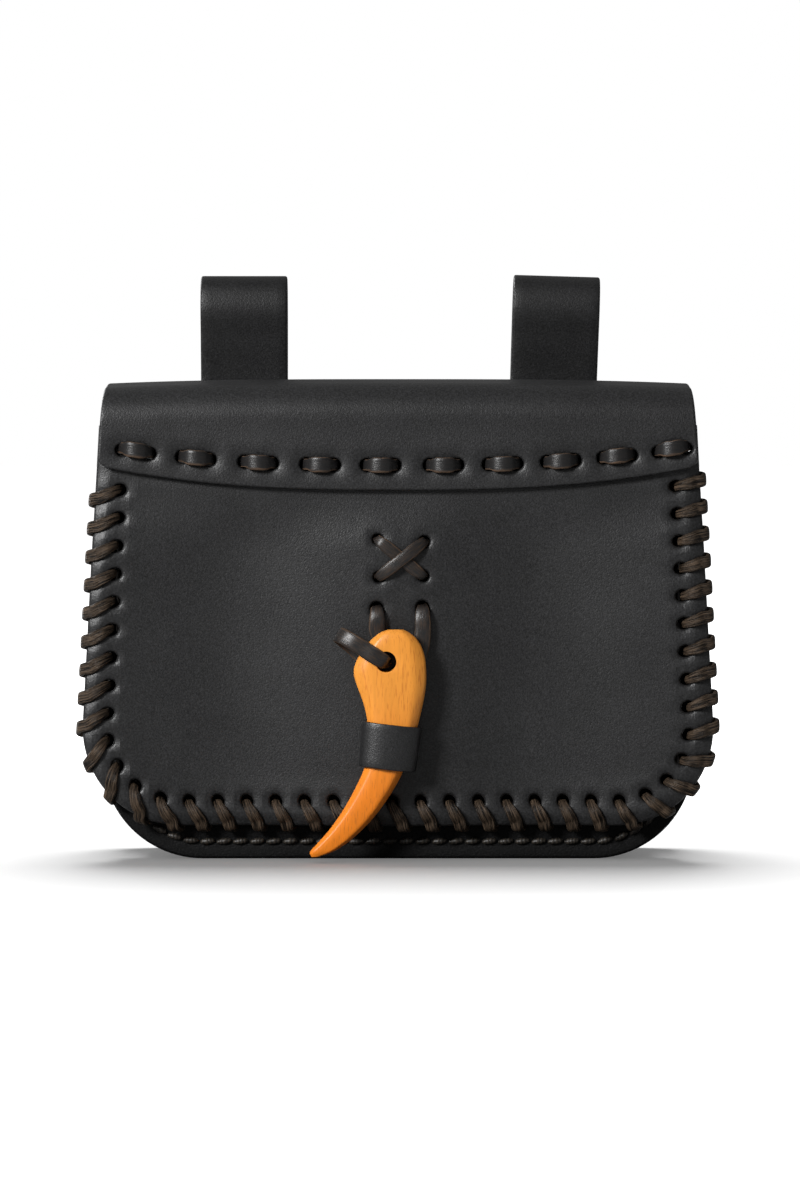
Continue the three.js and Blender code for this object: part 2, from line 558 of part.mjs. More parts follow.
/** The tether: a loop from hole to hole behind the flap, and in front down to the claw and round its edge. */
function tetherLace() {
  const { thickness, width, pinched } = TETHER;
  const { left, right } = TETHER_HOLES;
  const rise = thickness / 2 + CLEARANCE;
  const behindClaw = CLAW_BACK + CLEARANCE + thickness / 2 + 0.1;
  const clawFront = 2 * CLAW_MIDDLE - CLAW_BACK;
  const beforeClaw = clawFront - rise;
  const face = (place) => flapFace(place.x, place.z);
  const rear = (place) => face(place) + LEATHER + rise;
  const { x: eyeX, z: eyeZ } = CLAW_HOLE;
  // Each row is a point of the lace's middle, and the way its face looks there.
  const route = [
    { at: [left.x, rear(left), left.z - 0.2], up: [-0.6, 1, 0], width: pinched },
    { at: [left.x, face(left) + LEATHER / 2, left.z], up: [0, 0, 1], width: pinched },
    { at: [left.x, face(left) - 0.6, left.z - 0.4], up: [0, -0.8, 1], width: pinched },
    { at: [left.x + 0.1, face(left) - rise - 0.5, left.z - 2.2], up: [0, -1, 0], width: 4.6 },
    { at: [left.x + 0.2, behindClaw, left.z - 7.1], up: [0, -1, 0], width },
    { at: [left.x + 1.6, behindClaw, left.z - 10.5], up: [0, -1, 0.1], width: 4.6 },
    { at: [eyeX, behindClaw + 0.1, eyeZ + 2.6], up: [0.1, -1, 0.5], width: 3.8 },
    { at: [eyeX, CLAW_BACK - 0.3, eyeZ + 0.4], up: [0.3, -0.6, 1], width: pinched },
    { at: [eyeX, CLAW_MIDDLE, eyeZ], up: [0.6, 0, 0.7], width: pinched },
    { at: [eyeX, clawFront + 1.4, eyeZ - 0.1], up: [0.7, 0, -0.4], width: pinched },
    { at: [eyeX - 0.6, clawFront - 0.2, eyeZ + 0.2], up: [0.8, -0.6, -0.5], width: 4.4 },
    { at: [eyeX - 2.6, beforeClaw - 0.3, eyeZ + 1.4], up: [0, -1, 0], width },
    { at: [eyeX - 7.0, beforeClaw, eyeZ + 4.2], up: [0, -1, 0], width },
    { at: [eyeX - 11.2, beforeClaw + 0.6, eyeZ + 6.8], up: [-0.2, -1, 0.1], width },
    { at: [eyeX - 14.0, beforeClaw + 2.6, eyeZ + 8.2], up: [-1, -0.7, 0.6], width },
    { at: [eyeX - 14.8, CLAW_MIDDLE + 0.4, eyeZ + 8.2], up: [-1, 0, 0.6], width },
    { at: [eyeX - 13.6, CLAW_BACK - 0.6, eyeZ + 6.9], up: [-1, 0.8, 0.6], width },
    { at: [eyeX - 10.8, behindClaw - 0.1, eyeZ + 4.6], up: [0, 1, 0.1], width },
    { at: [eyeX - 6.6, behindClaw, eyeZ + 0.2], up: [0, 1, 0], width },
    { at: [eyeX - 2.4, behindClaw, eyeZ - 5.0], up: [0, 1, 0], width: 4.4 },
    { at: [eyeX + 3.0, behindClaw, eyeZ - 6.6], up: [0, 1, 0], width: 4.4 },
    { at: [eyeX + 8.2, behindClaw, eyeZ - 3.4], up: [0, 1, 0], width: 4.4 },
    { at: [eyeX + 11.0, behindClaw, eyeZ + 3.6], up: [0, 1, 0], width },
    { at: [right.x + 0.1, behindClaw, right.z - 7.4], up: [0, 1, 0], width },
    { at: [right.x, face(right) - rise - 0.5, right.z - 2.2], up: [0, 1, 0], width: 4.6 },
    { at: [right.x, face(right) - 0.6, right.z - 0.4], up: [0, 0.8, -1], width: pinched },
    { at: [right.x, face(right) + LEATHER / 2, right.z], up: [0, 0, -1], width: pinched },
    { at: [right.x, rear(right), right.z - 0.2], up: [0.6, -1, 0], width: pinched },
  ];
  return strap(route.map(({ at, up, width: size }) => (
    { at: v3(...at), up: v3(...up), width: size, thickness }
  )), true);
}

// ---------------------------------------------------------------- claw and ring

function clawToggle() {
  const rings = CLAW_SECTIONS.map(({ z, left, right, thick }) => CLAW_OUTLINE.map(({ across, deep }) => {
    const x = (left + right) / 2 + (across * (right - left)) / 2;
    return v3(x, CLAW_MIDDLE - (deep * thick) / 2, z);
  }));
  return cut(loft(rings), [hole(CLAW_HOLE, CLAW_HOLE.radius, CLAW_MIDDLE, 20)]);
}

/** The ring: a strap round the claw whose two ends go through the slit and lie sewn on the pocket's front. */
function toggleRing() {
  const steps = 20;
  const gap = 0.45; // radians at the back, from its middle to each end
  const halfDepth = CLAW_BACK - CLAW_MIDDLE + 1.7 * CLEARANCE + RING_LEATHER / 2;
  const tabDepth = POCKET_FACE - CLEARANCE - RING_LEATHER / 2;
  const crestFace = flapFace(RING.x, RING.z);
  const end = (side) => [
    { x: side * (RING_TAIL_X + RING_TAB), y: tabDepth },
    { x: side * (RING_TAIL_X + 1.6), y: tabDepth },
    { x: side * (RING_TAIL_X + 0.3), y: tabDepth - 0.6 },
    { x: side * RING_TAIL_X, y: tabDepth - 1.8 },
    { x: side * RING_TAIL_X, y: crestFace - 0.3 },
    { x: side * (RING_TAIL_X + 0.9), y: crestFace - 1.0 },
  ];
  const rim = (half, angle) => {
    const [cos, sin] = [Math.cos(angle), Math.sin(angle)];
    const round = (value) => Math.sign(value) * Math.abs(value) ** (2 / RING.power);
    return { x: (half - RING_LEATHER / 2) * round(cos), y: CLAW_MIDDLE + halfDepth * round(sin) };
  };
  const levels = [
    { z: RING.height / 2, half: RING.halfTop },
    { z: -RING.height / 2, half: RING.halfBottom },
  ];
  const turned = (share) => Math.PI / 2 - mix(gap, 2 * Math.PI - gap, share);
  const angles = Array.from({ length: steps + 1 }, (_, i) => turned(i / steps));
  const lines = levels.map(({ half }) => [
    ...end(1),
    ...angles.map((angle) => rim(half, angle)),
    ...end(-1).reverse(),
  ]);
  const side = (offset) => lines[0].map((_, i) => lines.map((line, j) => {
    const before = line[Math.max(i - 1, 0)];
    const after = line[Math.min(i + 1, line.length - 1)];
    const along = new THREE.Vector2(after.x - before.x, after.y - before.y).normalize();
    return v3(line[i].x + along.y * offset, line[i].y - along.x * offset, levels[j].z);
  }));
  const geometry = wall(side(RING_LEATHER / 2), side(-RING_LEATHER / 2));
  return geometry.rotateY(THREE.MathUtils.degToRad(RING.tilt)).translate(RING.x, 0, RING.z);
}

// ---------------------------------------------------------------- assembly

function piece(name, geometry, finish) {
  const flat = geometry.index ? geometry.toNonIndexed() : geometry;
  flat.computeVertexNormals();
  const mesh = new THREE.Mesh(flat, new THREE.MeshStandardMaterial(finish));
  mesh.name = name;
  return mesh;
}

const pouch = new THREE.Group();
pouch.add(
  piece('back_panel', backPanel(), blackLeather),
  piece('front_flap', frontFlap(), blackLeather),
  piece('pocket_front', pocketFront(), blackLeather),
  piece('gusset', gusset(), blackLeather),
  piece('edge_lace', edgeLace(), brownLace),
  piece('running_lace', runningLace(), brownLace),
  piece('cross_lace', crossLace(), brownLace),
  piece('tether_lace', tetherLace(), brownLace),
  piece('toggle_ring', toggleRing(), blackLeather),
  piece('claw_toggle', clawToggle(), orangeWood),
);
for (const { name, x, lean } of LOOPS) {
  const loop = piece(name, beltLoop(), blackLeather);
  loop.position.set(x, 0, LOOP_PIVOT_Z);
  loop.rotation.y = THREE.MathUtils.degToRad(lean);
  pouch.add(loop);
}

// The origin is the middle of the footprint, on the floor.
const middle = new THREE.Box3().setFromObject(pouch).getCenter(v3(0, 0, 0));
pouch.position.set(-middle.x, -middle.y, 0);

export default pouch;
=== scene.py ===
"""Leather belt pouch: the looks of its leather, laces, thread and wooden claw, built around its fixed frame.

Shapes are worked out in millimetres and turned into metres as each piece is finished. The front faces -Y.
"""

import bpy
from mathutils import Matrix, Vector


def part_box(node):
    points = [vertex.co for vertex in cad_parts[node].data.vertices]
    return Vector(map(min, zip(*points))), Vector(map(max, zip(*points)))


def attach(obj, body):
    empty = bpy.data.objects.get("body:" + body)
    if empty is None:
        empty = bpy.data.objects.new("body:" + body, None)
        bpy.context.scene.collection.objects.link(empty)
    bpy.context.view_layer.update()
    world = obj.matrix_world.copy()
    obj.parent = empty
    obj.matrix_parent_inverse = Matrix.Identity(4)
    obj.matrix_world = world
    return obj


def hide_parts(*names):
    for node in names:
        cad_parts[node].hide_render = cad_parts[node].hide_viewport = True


bl_info = {
    "name": "Leather Belt Pouch",
    "version": (1, 0, 0),
    "blender": (4, 5, 0),
    "location": "3D View > Sidebar > Pouch",
    "description": "Builds a laced leather belt pouch with a claw toggle, piece by piece",
    "category": "Object",
}

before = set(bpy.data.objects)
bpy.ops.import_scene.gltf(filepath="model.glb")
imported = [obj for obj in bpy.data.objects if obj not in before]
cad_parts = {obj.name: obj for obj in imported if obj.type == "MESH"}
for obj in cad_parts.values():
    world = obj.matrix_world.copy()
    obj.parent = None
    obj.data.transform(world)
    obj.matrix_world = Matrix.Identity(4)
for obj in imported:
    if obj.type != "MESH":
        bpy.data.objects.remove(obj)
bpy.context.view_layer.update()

import math

import bmesh
import bpy
import numpy as np
from mathutils import Matrix, Vector

MM = 0.001


# ---------------------------------------------------------------- places taken from the frame, in millimetres

def node_box(name):
    """A node's lowest and highest corner in millimetres."""
    low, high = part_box(name)
    return Vector(low) / MM, Vector(high) / MM


BACK_LOW, BACK_HIGH = node_box("back_panel")
FLAP_LOW, FLAP_HIGH = node_box("front_flap")
POCKET_LOW, POCKET_HIGH = node_box("pocket_front")
GUSSET_LOW, GUSSET_HIGH = node_box("gusset")
CLAW_LOW, CLAW_HIGH = node_box("claw_toggle")

LEATHER = POCKET_HIGH.y - POCKET_LOW.y
BACK_FACE = BACK_HIGH.y
BAND_FACE = BACK_LOW.y
POCKET_FACE = POCKET_LOW.y
FLAP_REAR = FLAP_HIGH.y
FLAP_FACE = FLAP_REAR - LEATHER
CLAW_MIDDLE = (CLAW_LOW.y + CLAW_HIGH.y) / 2

# Panels seen from the front. flare is the slant of the sides in degrees.
FLAP = {
    "half": (FLAP_HIGH.x - FLAP_LOW.x) / 2, "corner": 31.3,
    "bottom": FLAP_LOW.z, "top": FLAP_HIGH.z, "flare": 3.2,
}
POUCH = {"half": (POCKET_HIGH.x - POCKET_LOW.x) / 2, "corner": 32.0, "bottom": 0.0, "flare": 0.0}
MOUTH_CORNER = 6.0

LID_CROWN = 1.0
LID_TOP = BACK_HIGH.z - LID_CROWN
LID_BACK_RADIUS = 8.0
LID_FRONT_RADIUS = 11.0
LID_DROOP = 1.4
LID_HALF = 92.9
BAND_HALF = BACK_HIGH.x
BAND_BOTTOM = 117.6
BAND_RISE = 8.0
BAND_CURVE = 2.7
BAND_CORNER = 3.0

WAVE_CREST = -4.0
WAVE_LENGTH = 96.0
WAVE_FULL = 98.2
WAVE_FROM = 117.2
FOLD_DIP = 0.9
# The room that the flap leaves for the band: how deep, from what height, and over what height it begins.
BAND_ROOM = {"depth": 0.3, "from": 118, "over": 5}

SEAM_INSET = 5.6
SEAM_ALLOWANCE = 8.0
GUSSET_LEATHER = 2.0

EDGE_INSET = 7.8
EDGE_ROLL = {"depth": 1.15, "width": 4.6}
EDGE_FIRST = 117.7
# By its place round the flap: how far a whipped stitch runs along the edge on the front, in stitches, and
# how much further along the edge its hole lies than even spacing would put it.
EDGE_STITCHES = {
    "place": (0, 0.2, 0.27, 0.33, 0.57, 0.7, 0.78, 0.9, 1),
    "lead": (0.38, 0.5, 0.64, 0.42, 0.4, 0.3, 0.25, 0.2, 0.14),
    "slip": (0, 0.2, -0.4, 0.2, 3.7, 4.1, 1.9, 1.9, 1.2),
}

RUNNING_X = (-82.9, -63.9, -44.2, -24.6, -5.5, 14.4, 33.1, 51.5, 69.3, 86.7)
RUNNING_REACH = 4.4
SEAM_RISE = 8.0
SEAM_CLIMB = 6.9

CROSS_HOLES = {
    "upper_left": (-6.5, 102.2), "upper_right": (8.4, 101.5),
    "lower_left": (-6.2, 90.1), "lower_right": (8.1, 90.4),
}
TETHER_LEFT = (-6.7, 80.3)
TETHER_RIGHT = (7.8, 80.6)
CLAW_EYE = (-3.8, 63.9)
CLAW_EYE_RADIUS = 3.3
DRILL_DEPTH = 20

RING_CENTRE = (-2.6, 37.0)
RING_TILT = 6.5
SLIT = (3.8, 15.6)

# Radii of the holes, and where the flap is sliced finely: near its edge, and in a field round the cross
# and the tether's holes, given by its half width, its foot and its top.
BAND_HOLE = 2.15
EDGE_HOLE = {"long": 2.15, "wide": 1.85}
RUNNING_HOLE = 2.2
CROSS_HOLE = 1.7
TETHER_HOLE = 2.1
LACED_BORDER = 13
LACED_FIELD = {"half": 14, "foot": 73, "top": 109}

ACROSS = Vector((1, 0, 0))
LENGTHWISE = Vector((0, 1, 0))
LACE_SHARP = math.radians(80)
CLAW_SHARP = math.radians(40)
STITCH_SLANT = math.radians(7)
DENT_SWELL = 0.22
DENT_SPREAD = 2.2


# ---------------------------------------------------------------- what a user would change

def length(name, description, millimetres):
    """A length property, kept in metres."""
    return bpy.props.FloatProperty(
        name=name, description=description, default=millimetres * MM, min=0, precision=4, unit="LENGTH",
    )


def colour(name, description, *rgb):
    return bpy.props.FloatVectorProperty(
        name=name, description=description, default=rgb, min=0, max=1, size=3, subtype="COLOR",
    )


class PouchSizes(bpy.types.PropertyGroup):
    """Sizes of the pouch's details"""

    edge_round: length("Edge Rounding", "How far the leather's edges are rounded", 0.85)
    fold_height: length("Fold Height", "How far the flap's soft upright folds stand out", 2.4)
    edge_lace: length("Edge Lace", "Width of the lace round the flap's edge", 3.8)
    running_lace: length("Running Lace", "Width of the lace through the band", 4.8)
    cross_lace: length("Cross Lace", "Width of the crossed lace", 3.9)
    tether_lace: length("Tether Lace", "Width of the lace that holds the claw", 5.1)
    thread: length("Thread", "Thickness of the sewing thread", 2.1)
    thread_pitch: length("Thread Pitch", "Length of a sewn stitch", 5.26)
    edge_stitches: bpy.props.IntProperty(
        name="Edge Stitches", description="Whipped stitches round the flap", default=42, min=2,
    )


class PouchColours(bpy.types.PropertyGroup):
    """Colours of the pouch"""

    leather: colour("Leather", "Black leather", 0.012, 0.012, 0.0125)
    flesh: colour("Raw Edge", "Brown fibres of the leather's cut edges", 0.075, 0.042, 0.022)
    lace: colour("Lace", "Brown side of the laces", 0.033, 0.023, 0.0155)
    thread: colour("Thread", "Waxed sewing thread", 0.03, 0.024, 0.018)
    wood: colour("Wood", "Orange wood of the claw", 0.80, 0.305, 0.042)
    wood_dark: colour("Wood Grain", "Short dark marks in the wood", 0.50, 0.135, 0.018)


def size(name):
    """A size in millimetres."""
    return getattr(bpy.context.scene.pouch_sizes, name) / MM


def shade(name):
    """A colour with its alpha."""
    return (*getattr(bpy.context.scene.pouch_colours, name), 1)


# ---------------------------------------------------------------- finishing a piece

def put_in_scene(obj):
    bpy.context.scene.collection.objects.link(obj)


def finish_piece(name, bm, material, nodes=(), sharp=math.radians(50), panel=False):
    """Turns a bmesh in millimetres into a piece of the pouch that stands for the named nodes."""
    bmesh.ops.scale(bm, vec=Vector((MM, MM, MM)), verts=bm.verts)
    bmesh.ops.recalc_face_normals(bm, faces=bm.faces)
    mesh = bpy.data.meshes.new(name)
    bm.to_mesh(mesh)
    bm.free()
    mesh.shade_smooth()
    if panel:
        even_shading(mesh)
    else:
        mesh.set_sharp_from_angle(angle=sharp)
    obj = bpy.data.objects.new(name, mesh)
    put_in_scene(obj)
    mesh.materials.append(material)
    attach(obj, "root")
    if nodes:
        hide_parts(*nodes)
    return obj


def even_shading(mesh):
    """Gives each vertex its faces' mean normal by area, so a rounded rim doesn't tint the wide faces."""
    count = len(mesh.vertices)
    loops = len(mesh.loops)
    faces = len(mesh.polygons)
    corner = np.empty(loops, dtype=np.int32)
    mesh.loops.foreach_get("vertex_index", corner)
    normals = np.empty(faces * 3)
    mesh.polygons.foreach_get("normal", normals)
    areas = np.empty(faces)
    mesh.polygons.foreach_get("area", areas)
    totals = np.empty(faces, dtype=np.int32)
    mesh.polygons.foreach_get("loop_total", totals)
    weighted = normals.reshape(-1, 3) * areas[:, None]
    sums = np.zeros((count, 3))
    np.add.at(sums, corner, np.repeat(weighted, totals, axis=0))
    sums /= np.maximum(np.linalg.norm(sums, axis=1), 1e-12)[:, None]
    mesh.normals_split_custom_set_from_vertices([tuple(normal) for normal in sums])


# ---------------------------------------------------------------- outlines

def arc(centre, radius, start, end, steps):
    """Points on an arc, from one angle to another, in degrees."""
    angles = [math.radians(start + (end - start) * i / steps) for i in range(steps + 1)]
    return [(centre[0] + radius * math.cos(a), centre[1] + radius * math.sin(a)) for a in angles]


def oval(centre, way, long, wide, steps=20):
    """A closed oval as points, long one way."""
    points = []
    for i in range(steps):
        angle = 2 * math.pi * i / steps
        forward, aside = long * math.cos(angle), wide * math.sin(angle)
        x = centre[0] + forward * way[0] - aside * way[1]
        z = centre[1] + forward * way[1] + aside * way[0]
        points.append((x, z))
    return points


def circle(centre, radius, steps=24):
    return arc(centre, radius, 0, 360, steps)[:-1]


def sides_and_bottom(panel, top, inset=0.0, steps=24):
    """Down a panel's left side, round its bottom and up its right side, brought in by an inset."""
    slant = math.radians(panel["flare"])
    centre = panel["half"] - panel["corner"]
    height = panel["bottom"] + panel["corner"]
    radius = panel["corner"] - inset
    right = arc((centre, height), radius, -90, panel["flare"], steps)
    x, z = right[-1]
    right.append((x - (top - z) * math.tan(slant), top))
    return [(-x, z) for x, z in reversed(right)] + right


def along(path, distance):
    """The point at a distance along a path, and the way out of it to the side."""
    for (ax, az), (bx, bz) in zip(path, path[1:]):
        stretch = math.hypot(bx - ax, bz - az)
        if distance <= stretch or (bx, bz) == path[-1]:
            share = distance / stretch
            way = ((bx - ax) / stretch, (bz - az) / stretch)
            return (ax + (bx - ax) * share, az + (bz - az) * share), (way[1], -way[0])
        distance -= stretch
    raise ValueError("the path has no length")


def path_length(path):
    return sum(math.dist(a, b) for a, b in zip(path, path[1:]))


def blend(a, b, share):
    return a + (b - a) * share


def ease(share):
    """A smooth step from 0 to 1."""
    share = np.clip(share, 0, 1)
    return share * share * (3 - 2 * share)


def dents(x, z, places, reach):
    """How deep dents, as (x, z, depth), pull the leather in at x and z, each with a faint swell round it."""
    total = 0.0 * x
    for dent_x, dent_z, depth in places:
        share = ((x - dent_x) ** 2 + (z - dent_z) ** 2) / (2 * reach**2)
        swell = DENT_SWELL * share * np.exp(-share / DENT_SPREAD)
        total = total + depth * (np.exp(-share) - swell)
    return total


def band_edge(x):
    """Height of the band's lower edge."""
    return BAND_BOTTOM + BAND_RISE * abs(x / BAND_HALF) ** BAND_CURVE


def running_seam(x):
    """Height of the seam that joins the band to the flap."""
    return BAND_BOTTOM + SEAM_RISE + SEAM_CLIMB * abs(x / BAND_HALF) ** BAND_CURVE


def running_holes():
    """Where the running lace goes through the band and the flap, as (x, z)."""
    return [(x, running_seam(x)) for m in RUNNING_X for x in (m - RUNNING_REACH, m + RUNNING_REACH)]


def flap_face(x, z):
    """Depth of the flap's front: flat under the band, with soft upright folds below it."""
    fold = 0.5 + 0.5 * np.cos(2 * math.pi * (x - WAVE_CREST) / WAVE_LENGTH)
    share = ease((WAVE_FROM - z) / (WAVE_FROM - WAVE_FULL))
    return FLAP_FACE + (FOLD_DIP * (1 - fold) - size("fold_height") * fold) * share


def edge_distance(panel, x, z):
    """How far a place on a panel is from the edge of its sides and bottom."""
    slant = math.radians(panel["flare"])
    corner = panel["corner"]
    across = abs(x) - (panel["half"] - corner)
    upright = z - (panel["bottom"] + corner)
    side = corner - across * math.cos(slant) - upright * math.sin(slant)
    in_corner = (across > 0) & (upright < across * math.tan(slant))
    return np.where(in_corner, corner - np.hypot(across, upright), np.minimum(side, corner + upright))


def edge_roll(distance):
    """How far the flap's edge curves back."""
    return EDGE_ROLL["depth"] * np.clip(1 - distance / EDGE_ROLL["width"], 0, 1) ** 2


# ---------------------------------------------------------------- leather cut flat, then bent

def leather_blank(outline, holes=(), thickness=LEATHER, rounding=None):
    """A flat piece of leather with rounded edges and rims, lying in X and Y."""
    rounding = size("edge_round") if rounding is None else rounding
    curve = bpy.data.curves.new("blank", "CURVE")
    curve.dimensions = "2D"
    curve.fill_mode = "BOTH"
    curve.extrude = thickness / 2 - rounding
    curve.bevel_depth = rounding
    curve.bevel_resolution = 2
    curve.offset = -rounding
    for loop in (outline, *holes):
        spline = curve.splines.new("POLY")
        spline.points.add(len(loop) - 1)
        for point, (x, y) in zip(spline.points, loop):
            point.co = (x, y, 0, 1)
        spline.use_cyclic_u = True
    shape = bpy.data.objects.new("blank", curve)
    mesh = bpy.data.meshes.new_from_object(shape)
    bm = bmesh.new()
    bm.from_mesh(mesh)
    bmesh.ops.remove_doubles(bm, verts=bm.verts, dist=0.001)
    bmesh.ops.dissolve_degenerate(bm, dist=0.1, edges=bm.edges)
    bpy.data.objects.remove(shape)
    bpy.data.curves.remove(curve)
    bpy.data.meshes.remove(mesh)
    return bm


def slice_up(bm, axis, places, zone=None):
    """Cuts a blank's faces along lines, so that it can bend there. A zone limits the cuts to its faces."""
    faces = [face for face in bm.faces if zone is None or zone(face.calc_center_bounds())]
    edges = list(dict.fromkeys(edge for face in faces for edge in face.edges))
    verts = list(dict.fromkeys(vert for edge in edges for vert in edge.verts))
    geom = verts + edges + faces
    for place in places:
        made = bmesh.ops.bisect_plane(bm, geom=geom, dist=0.0001, plane_co=axis * place, plane_no=axis)
        geom = made["geom"]


def slice_panel(bm, panel, top, steps, zone=None):
    """Cuts a panel's blank across and lengthwise, from its foot to its top."""
    slice_up(bm, ACROSS, steps_between(-panel["half"], panel["half"], steps[0]), zone)
    slice_up(bm, LENGTHWISE, steps_between(panel["bottom"], top, steps[1]), zone)


def steps_between(low, high, step):
    """Evenly spaced places between two ends, about a step apart."""
    count = round((high - low) / step)
    return [low + (high - low) * i / count for i in range(1, count)]


def bend(bm, shape):
    """Moves every point of a blank to where shape puts it, once the slivers left by slicing are gone."""
    bmesh.ops.dissolve_degenerate(bm, dist=0.01, edges=bm.edges)
    flat = np.array([vert.co for vert in bm.verts])
    for vert, place in zip(bm.verts, np.stack(shape(*flat.T), axis=1)):
        vert.co = place


# ---------------------------------------------------------------- strips and lofts

def loft(rings, closed=False):
    """A skin through rings of points, with a UV map of its length in metres and its way round in shares."""
    around = len(rings[0])
    rows = [*rings, rings[0]] if closed else rings
    travelled = [0.0]
    for a, b in zip(rows, rows[1:]):
        middle_a = sum((Vector(p) for p in a), Vector()) / around
        middle_b = sum((Vector(p) for p in b), Vector()) / around
        travelled.append(travelled[-1] + (middle_b - middle_a).length * MM)
    bm = bmesh.new()
    uv = bm.loops.layers.uv.new("strip")
    bmesh.ops.create_grid(bm, x_segments=around, y_segments=len(rows) - 1, size=1)
    bm.verts.ensure_lookup_table()
    bm.verts.index_update()
    columns = around + 1
    for vert in bm.verts:
        row, column = divmod(vert.index, columns)
        vert.co = rows[row][column % around]
    for face in bm.faces:
        for corner in face.loops:
            row, column = divmod(corner.vert.index, columns)
            corner[uv].uv = (column / around, travelled[row])
    bmesh.ops.remove_doubles(bm, verts=bm.verts, dist=0.00001)
    if not closed:
        bmesh.ops.holes_fill(bm, edges=[edge for edge in bm.edges if edge.is_boundary])
    bmesh.ops.recalc_face_normals(bm, faces=bm.faces)
    return bm


def smooth_rows(rows, steps, closed=False):
    """Rows of numbers that start with x, y and z, made finer along one smooth curve."""
    rows = np.array(rows, dtype=float)
    if closed:
        extended = np.vstack([rows[-1:], rows, rows[:2]])
    else:
        extended = np.vstack([2 * rows[:1] - rows[1:2], rows, 2 * rows[-1:] - rows[-2:-1]])
    gaps = np.linalg.norm(np.diff(extended[:, :3], axis=0), axis=1)[:, None]
    rates = np.diff(extended, axis=0) / gaps
    slopes = (rates[1:] * gaps[:-1] + rates[:-1] * gaps[1:]) / (gaps[1:] + gaps[:-1])
    fine = []
    for i in range(len(slopes) - 1):
        start, end, gap = extended[i + 1], extended[i + 2], gaps[i + 1]
        for step in range(steps):
            t = step / steps
            fine.append(
                (2 * t**3 - 3 * t**2 + 1) * start + (t**3 - 2 * t**2 + t) * gap * slopes[i]
                + (3 * t**2 - 2 * t**3) * end + (t**3 - t**2) * gap * slopes[i + 1]
            )
    if not closed:
        fine.append(rows[-1])
    return fine


def strip(rows, section, closed=False):
    """A strip with one outline all along. A row is its place, the way its face looks, width and thickness."""
    places = [Vector(row[:3]) for row in rows]
    count = len(places)
    rings = []
    for i, row in enumerate(rows):
        before = places[i - 1] if closed else places[max(i - 1, 0)]
        after = places[(i + 1) % count] if closed else places[min(i + 1, count - 1)]
        way = (after - before).normalized()
        side = way.cross(Vector(row[3:6])).normalized()
        lift = side.cross(way)
        width, thickness = row[6] / 2, row[7] / 2
        rings.append([places[i] + side * (a * width) + lift * (d * thickness) for a, d in section])
    return loft(rings, closed)


def flat_section(width, thickness, rounding, crown=0.0, steps=3, across=4):
    """A strap's outline in shares of its half width and thickness, rounded, with a raised middle."""
    half_width, half_thickness = width / 2, thickness / 2
    inner = half_width - rounding
    top = []
    for i in range(steps + 1):
        angle = math.pi / 2 * i / steps
        top.append((inner + rounding * math.cos(angle), half_thickness - rounding * (1 - math.sin(angle))))
    top += [(inner * (1 - 2 * i / across), half_thickness) for i in range(1, across)]
    top += [(-x, y) for x, y in reversed(top[:steps + 1])]
    raised = []
    for x, y in top:
        across_share = x / half_width
        raised.append((across_share, y / half_thickness * (1 + crown * (1 - across_share**2))))
    return raised + [(-x, -y) for x, y in raised]


# ---------------------------------------------------------------- materials

def new_group(name, inputs, outputs):
    """A shader node group with its sockets, and its two end nodes."""
    group = bpy.data.node_groups.new(name, "ShaderNodeTree")
    for label, kind, default in inputs:
        socket = group.interface.new_socket(name=label, in_out="INPUT", socket_type=kind)
        if default is not None:
            socket.default_value = default
    for label, kind in outputs:
        group.interface.new_socket(name=label, in_out="OUTPUT", socket_type=kind)
    return group, group.nodes.new("NodeGroupInput"), group.nodes.new("NodeGroupOutput")


def add_node(tree, kind, values=(), **settings):
    """A node with its settings and its inputs' plain values."""
    node = tree.nodes.new(kind)
    for key, value in settings.items():
        setattr(node, key, value)
    for key, value in dict(values).items():
        node.inputs[key].default_value = value
    return node


def value_range(tree, low, high, to_low=0.0, to_high=1.0, smooth=False):
    """A node that turns values between two limits into values between two others."""
    limits = {"From Min": low, "From Max": high, "To Min": to_low, "To Max": to_high}
    kind = "SMOOTHSTEP" if smooth else "LINEAR"
    return add_node(tree, "ShaderNodeMapRange", limits, interpolation_type=kind)


def times(tree, factor=None):
    """A node that multiplies its first input."""
    return add_node(tree, "ShaderNodeMath", {} if factor is None else {1: factor}, operation="MULTIPLY")


def bump(tree, strength, distance, **settings):
    return add_node(tree, "ShaderNodeBump", {"Strength": strength, "Distance": distance}, **settings)


def connect(tree, *links):
    """Joins nodes by links given as (node, its output, node, its input)."""
    for start, output, end, entry in links:
        tree.links.new(start.outputs[output], end.inputs[entry])


def grain_group():
    """Leather grain: pebbles with fine creases between them, and a broad unevenness."""
    group, start, end = new_group(
        "leather_grain",
        [("Vector", "NodeSocketVector", None), ("Pebble", "NodeSocketFloat", 1400.0)],
        [("Height", "NodeSocketFloat"), ("Unevenness", "NodeSocketFloat")],
    )
    pebbles = add_node(group, "ShaderNodeTexVoronoi", {"Randomness": 1.0}, feature="SMOOTH_F1")
    creases = add_node(group, "ShaderNodeTexNoise", {"Detail": 3.0, "Roughness": 0.6})
    double = times(group, 0.55)
    broad = add_node(group, "ShaderNodeTexNoise", {"Scale": 42.0, "Detail": 3.0})
    mixed = add_node(group, "ShaderNodeMath", {1: 0.75}, operation="MULTIPLY_ADD")
    connect(
        group,
        (start, "Vector", pebbles, "Vector"),
        (start, "Pebble", pebbles, "Scale"),
        (start, "Vector", creases, "Vector"),
        (start, "Pebble", double, 0),
        (double, 0, creases, "Scale"),
        (start, "Vector", broad, "Vector"),
        (pebbles, "Distance", mixed, 0),
        (creases, "Fac", mixed, 2),
        (mixed, 0, end, "Height"),
        (broad, "Fac", end, "Unevenness"),
    )
    return group


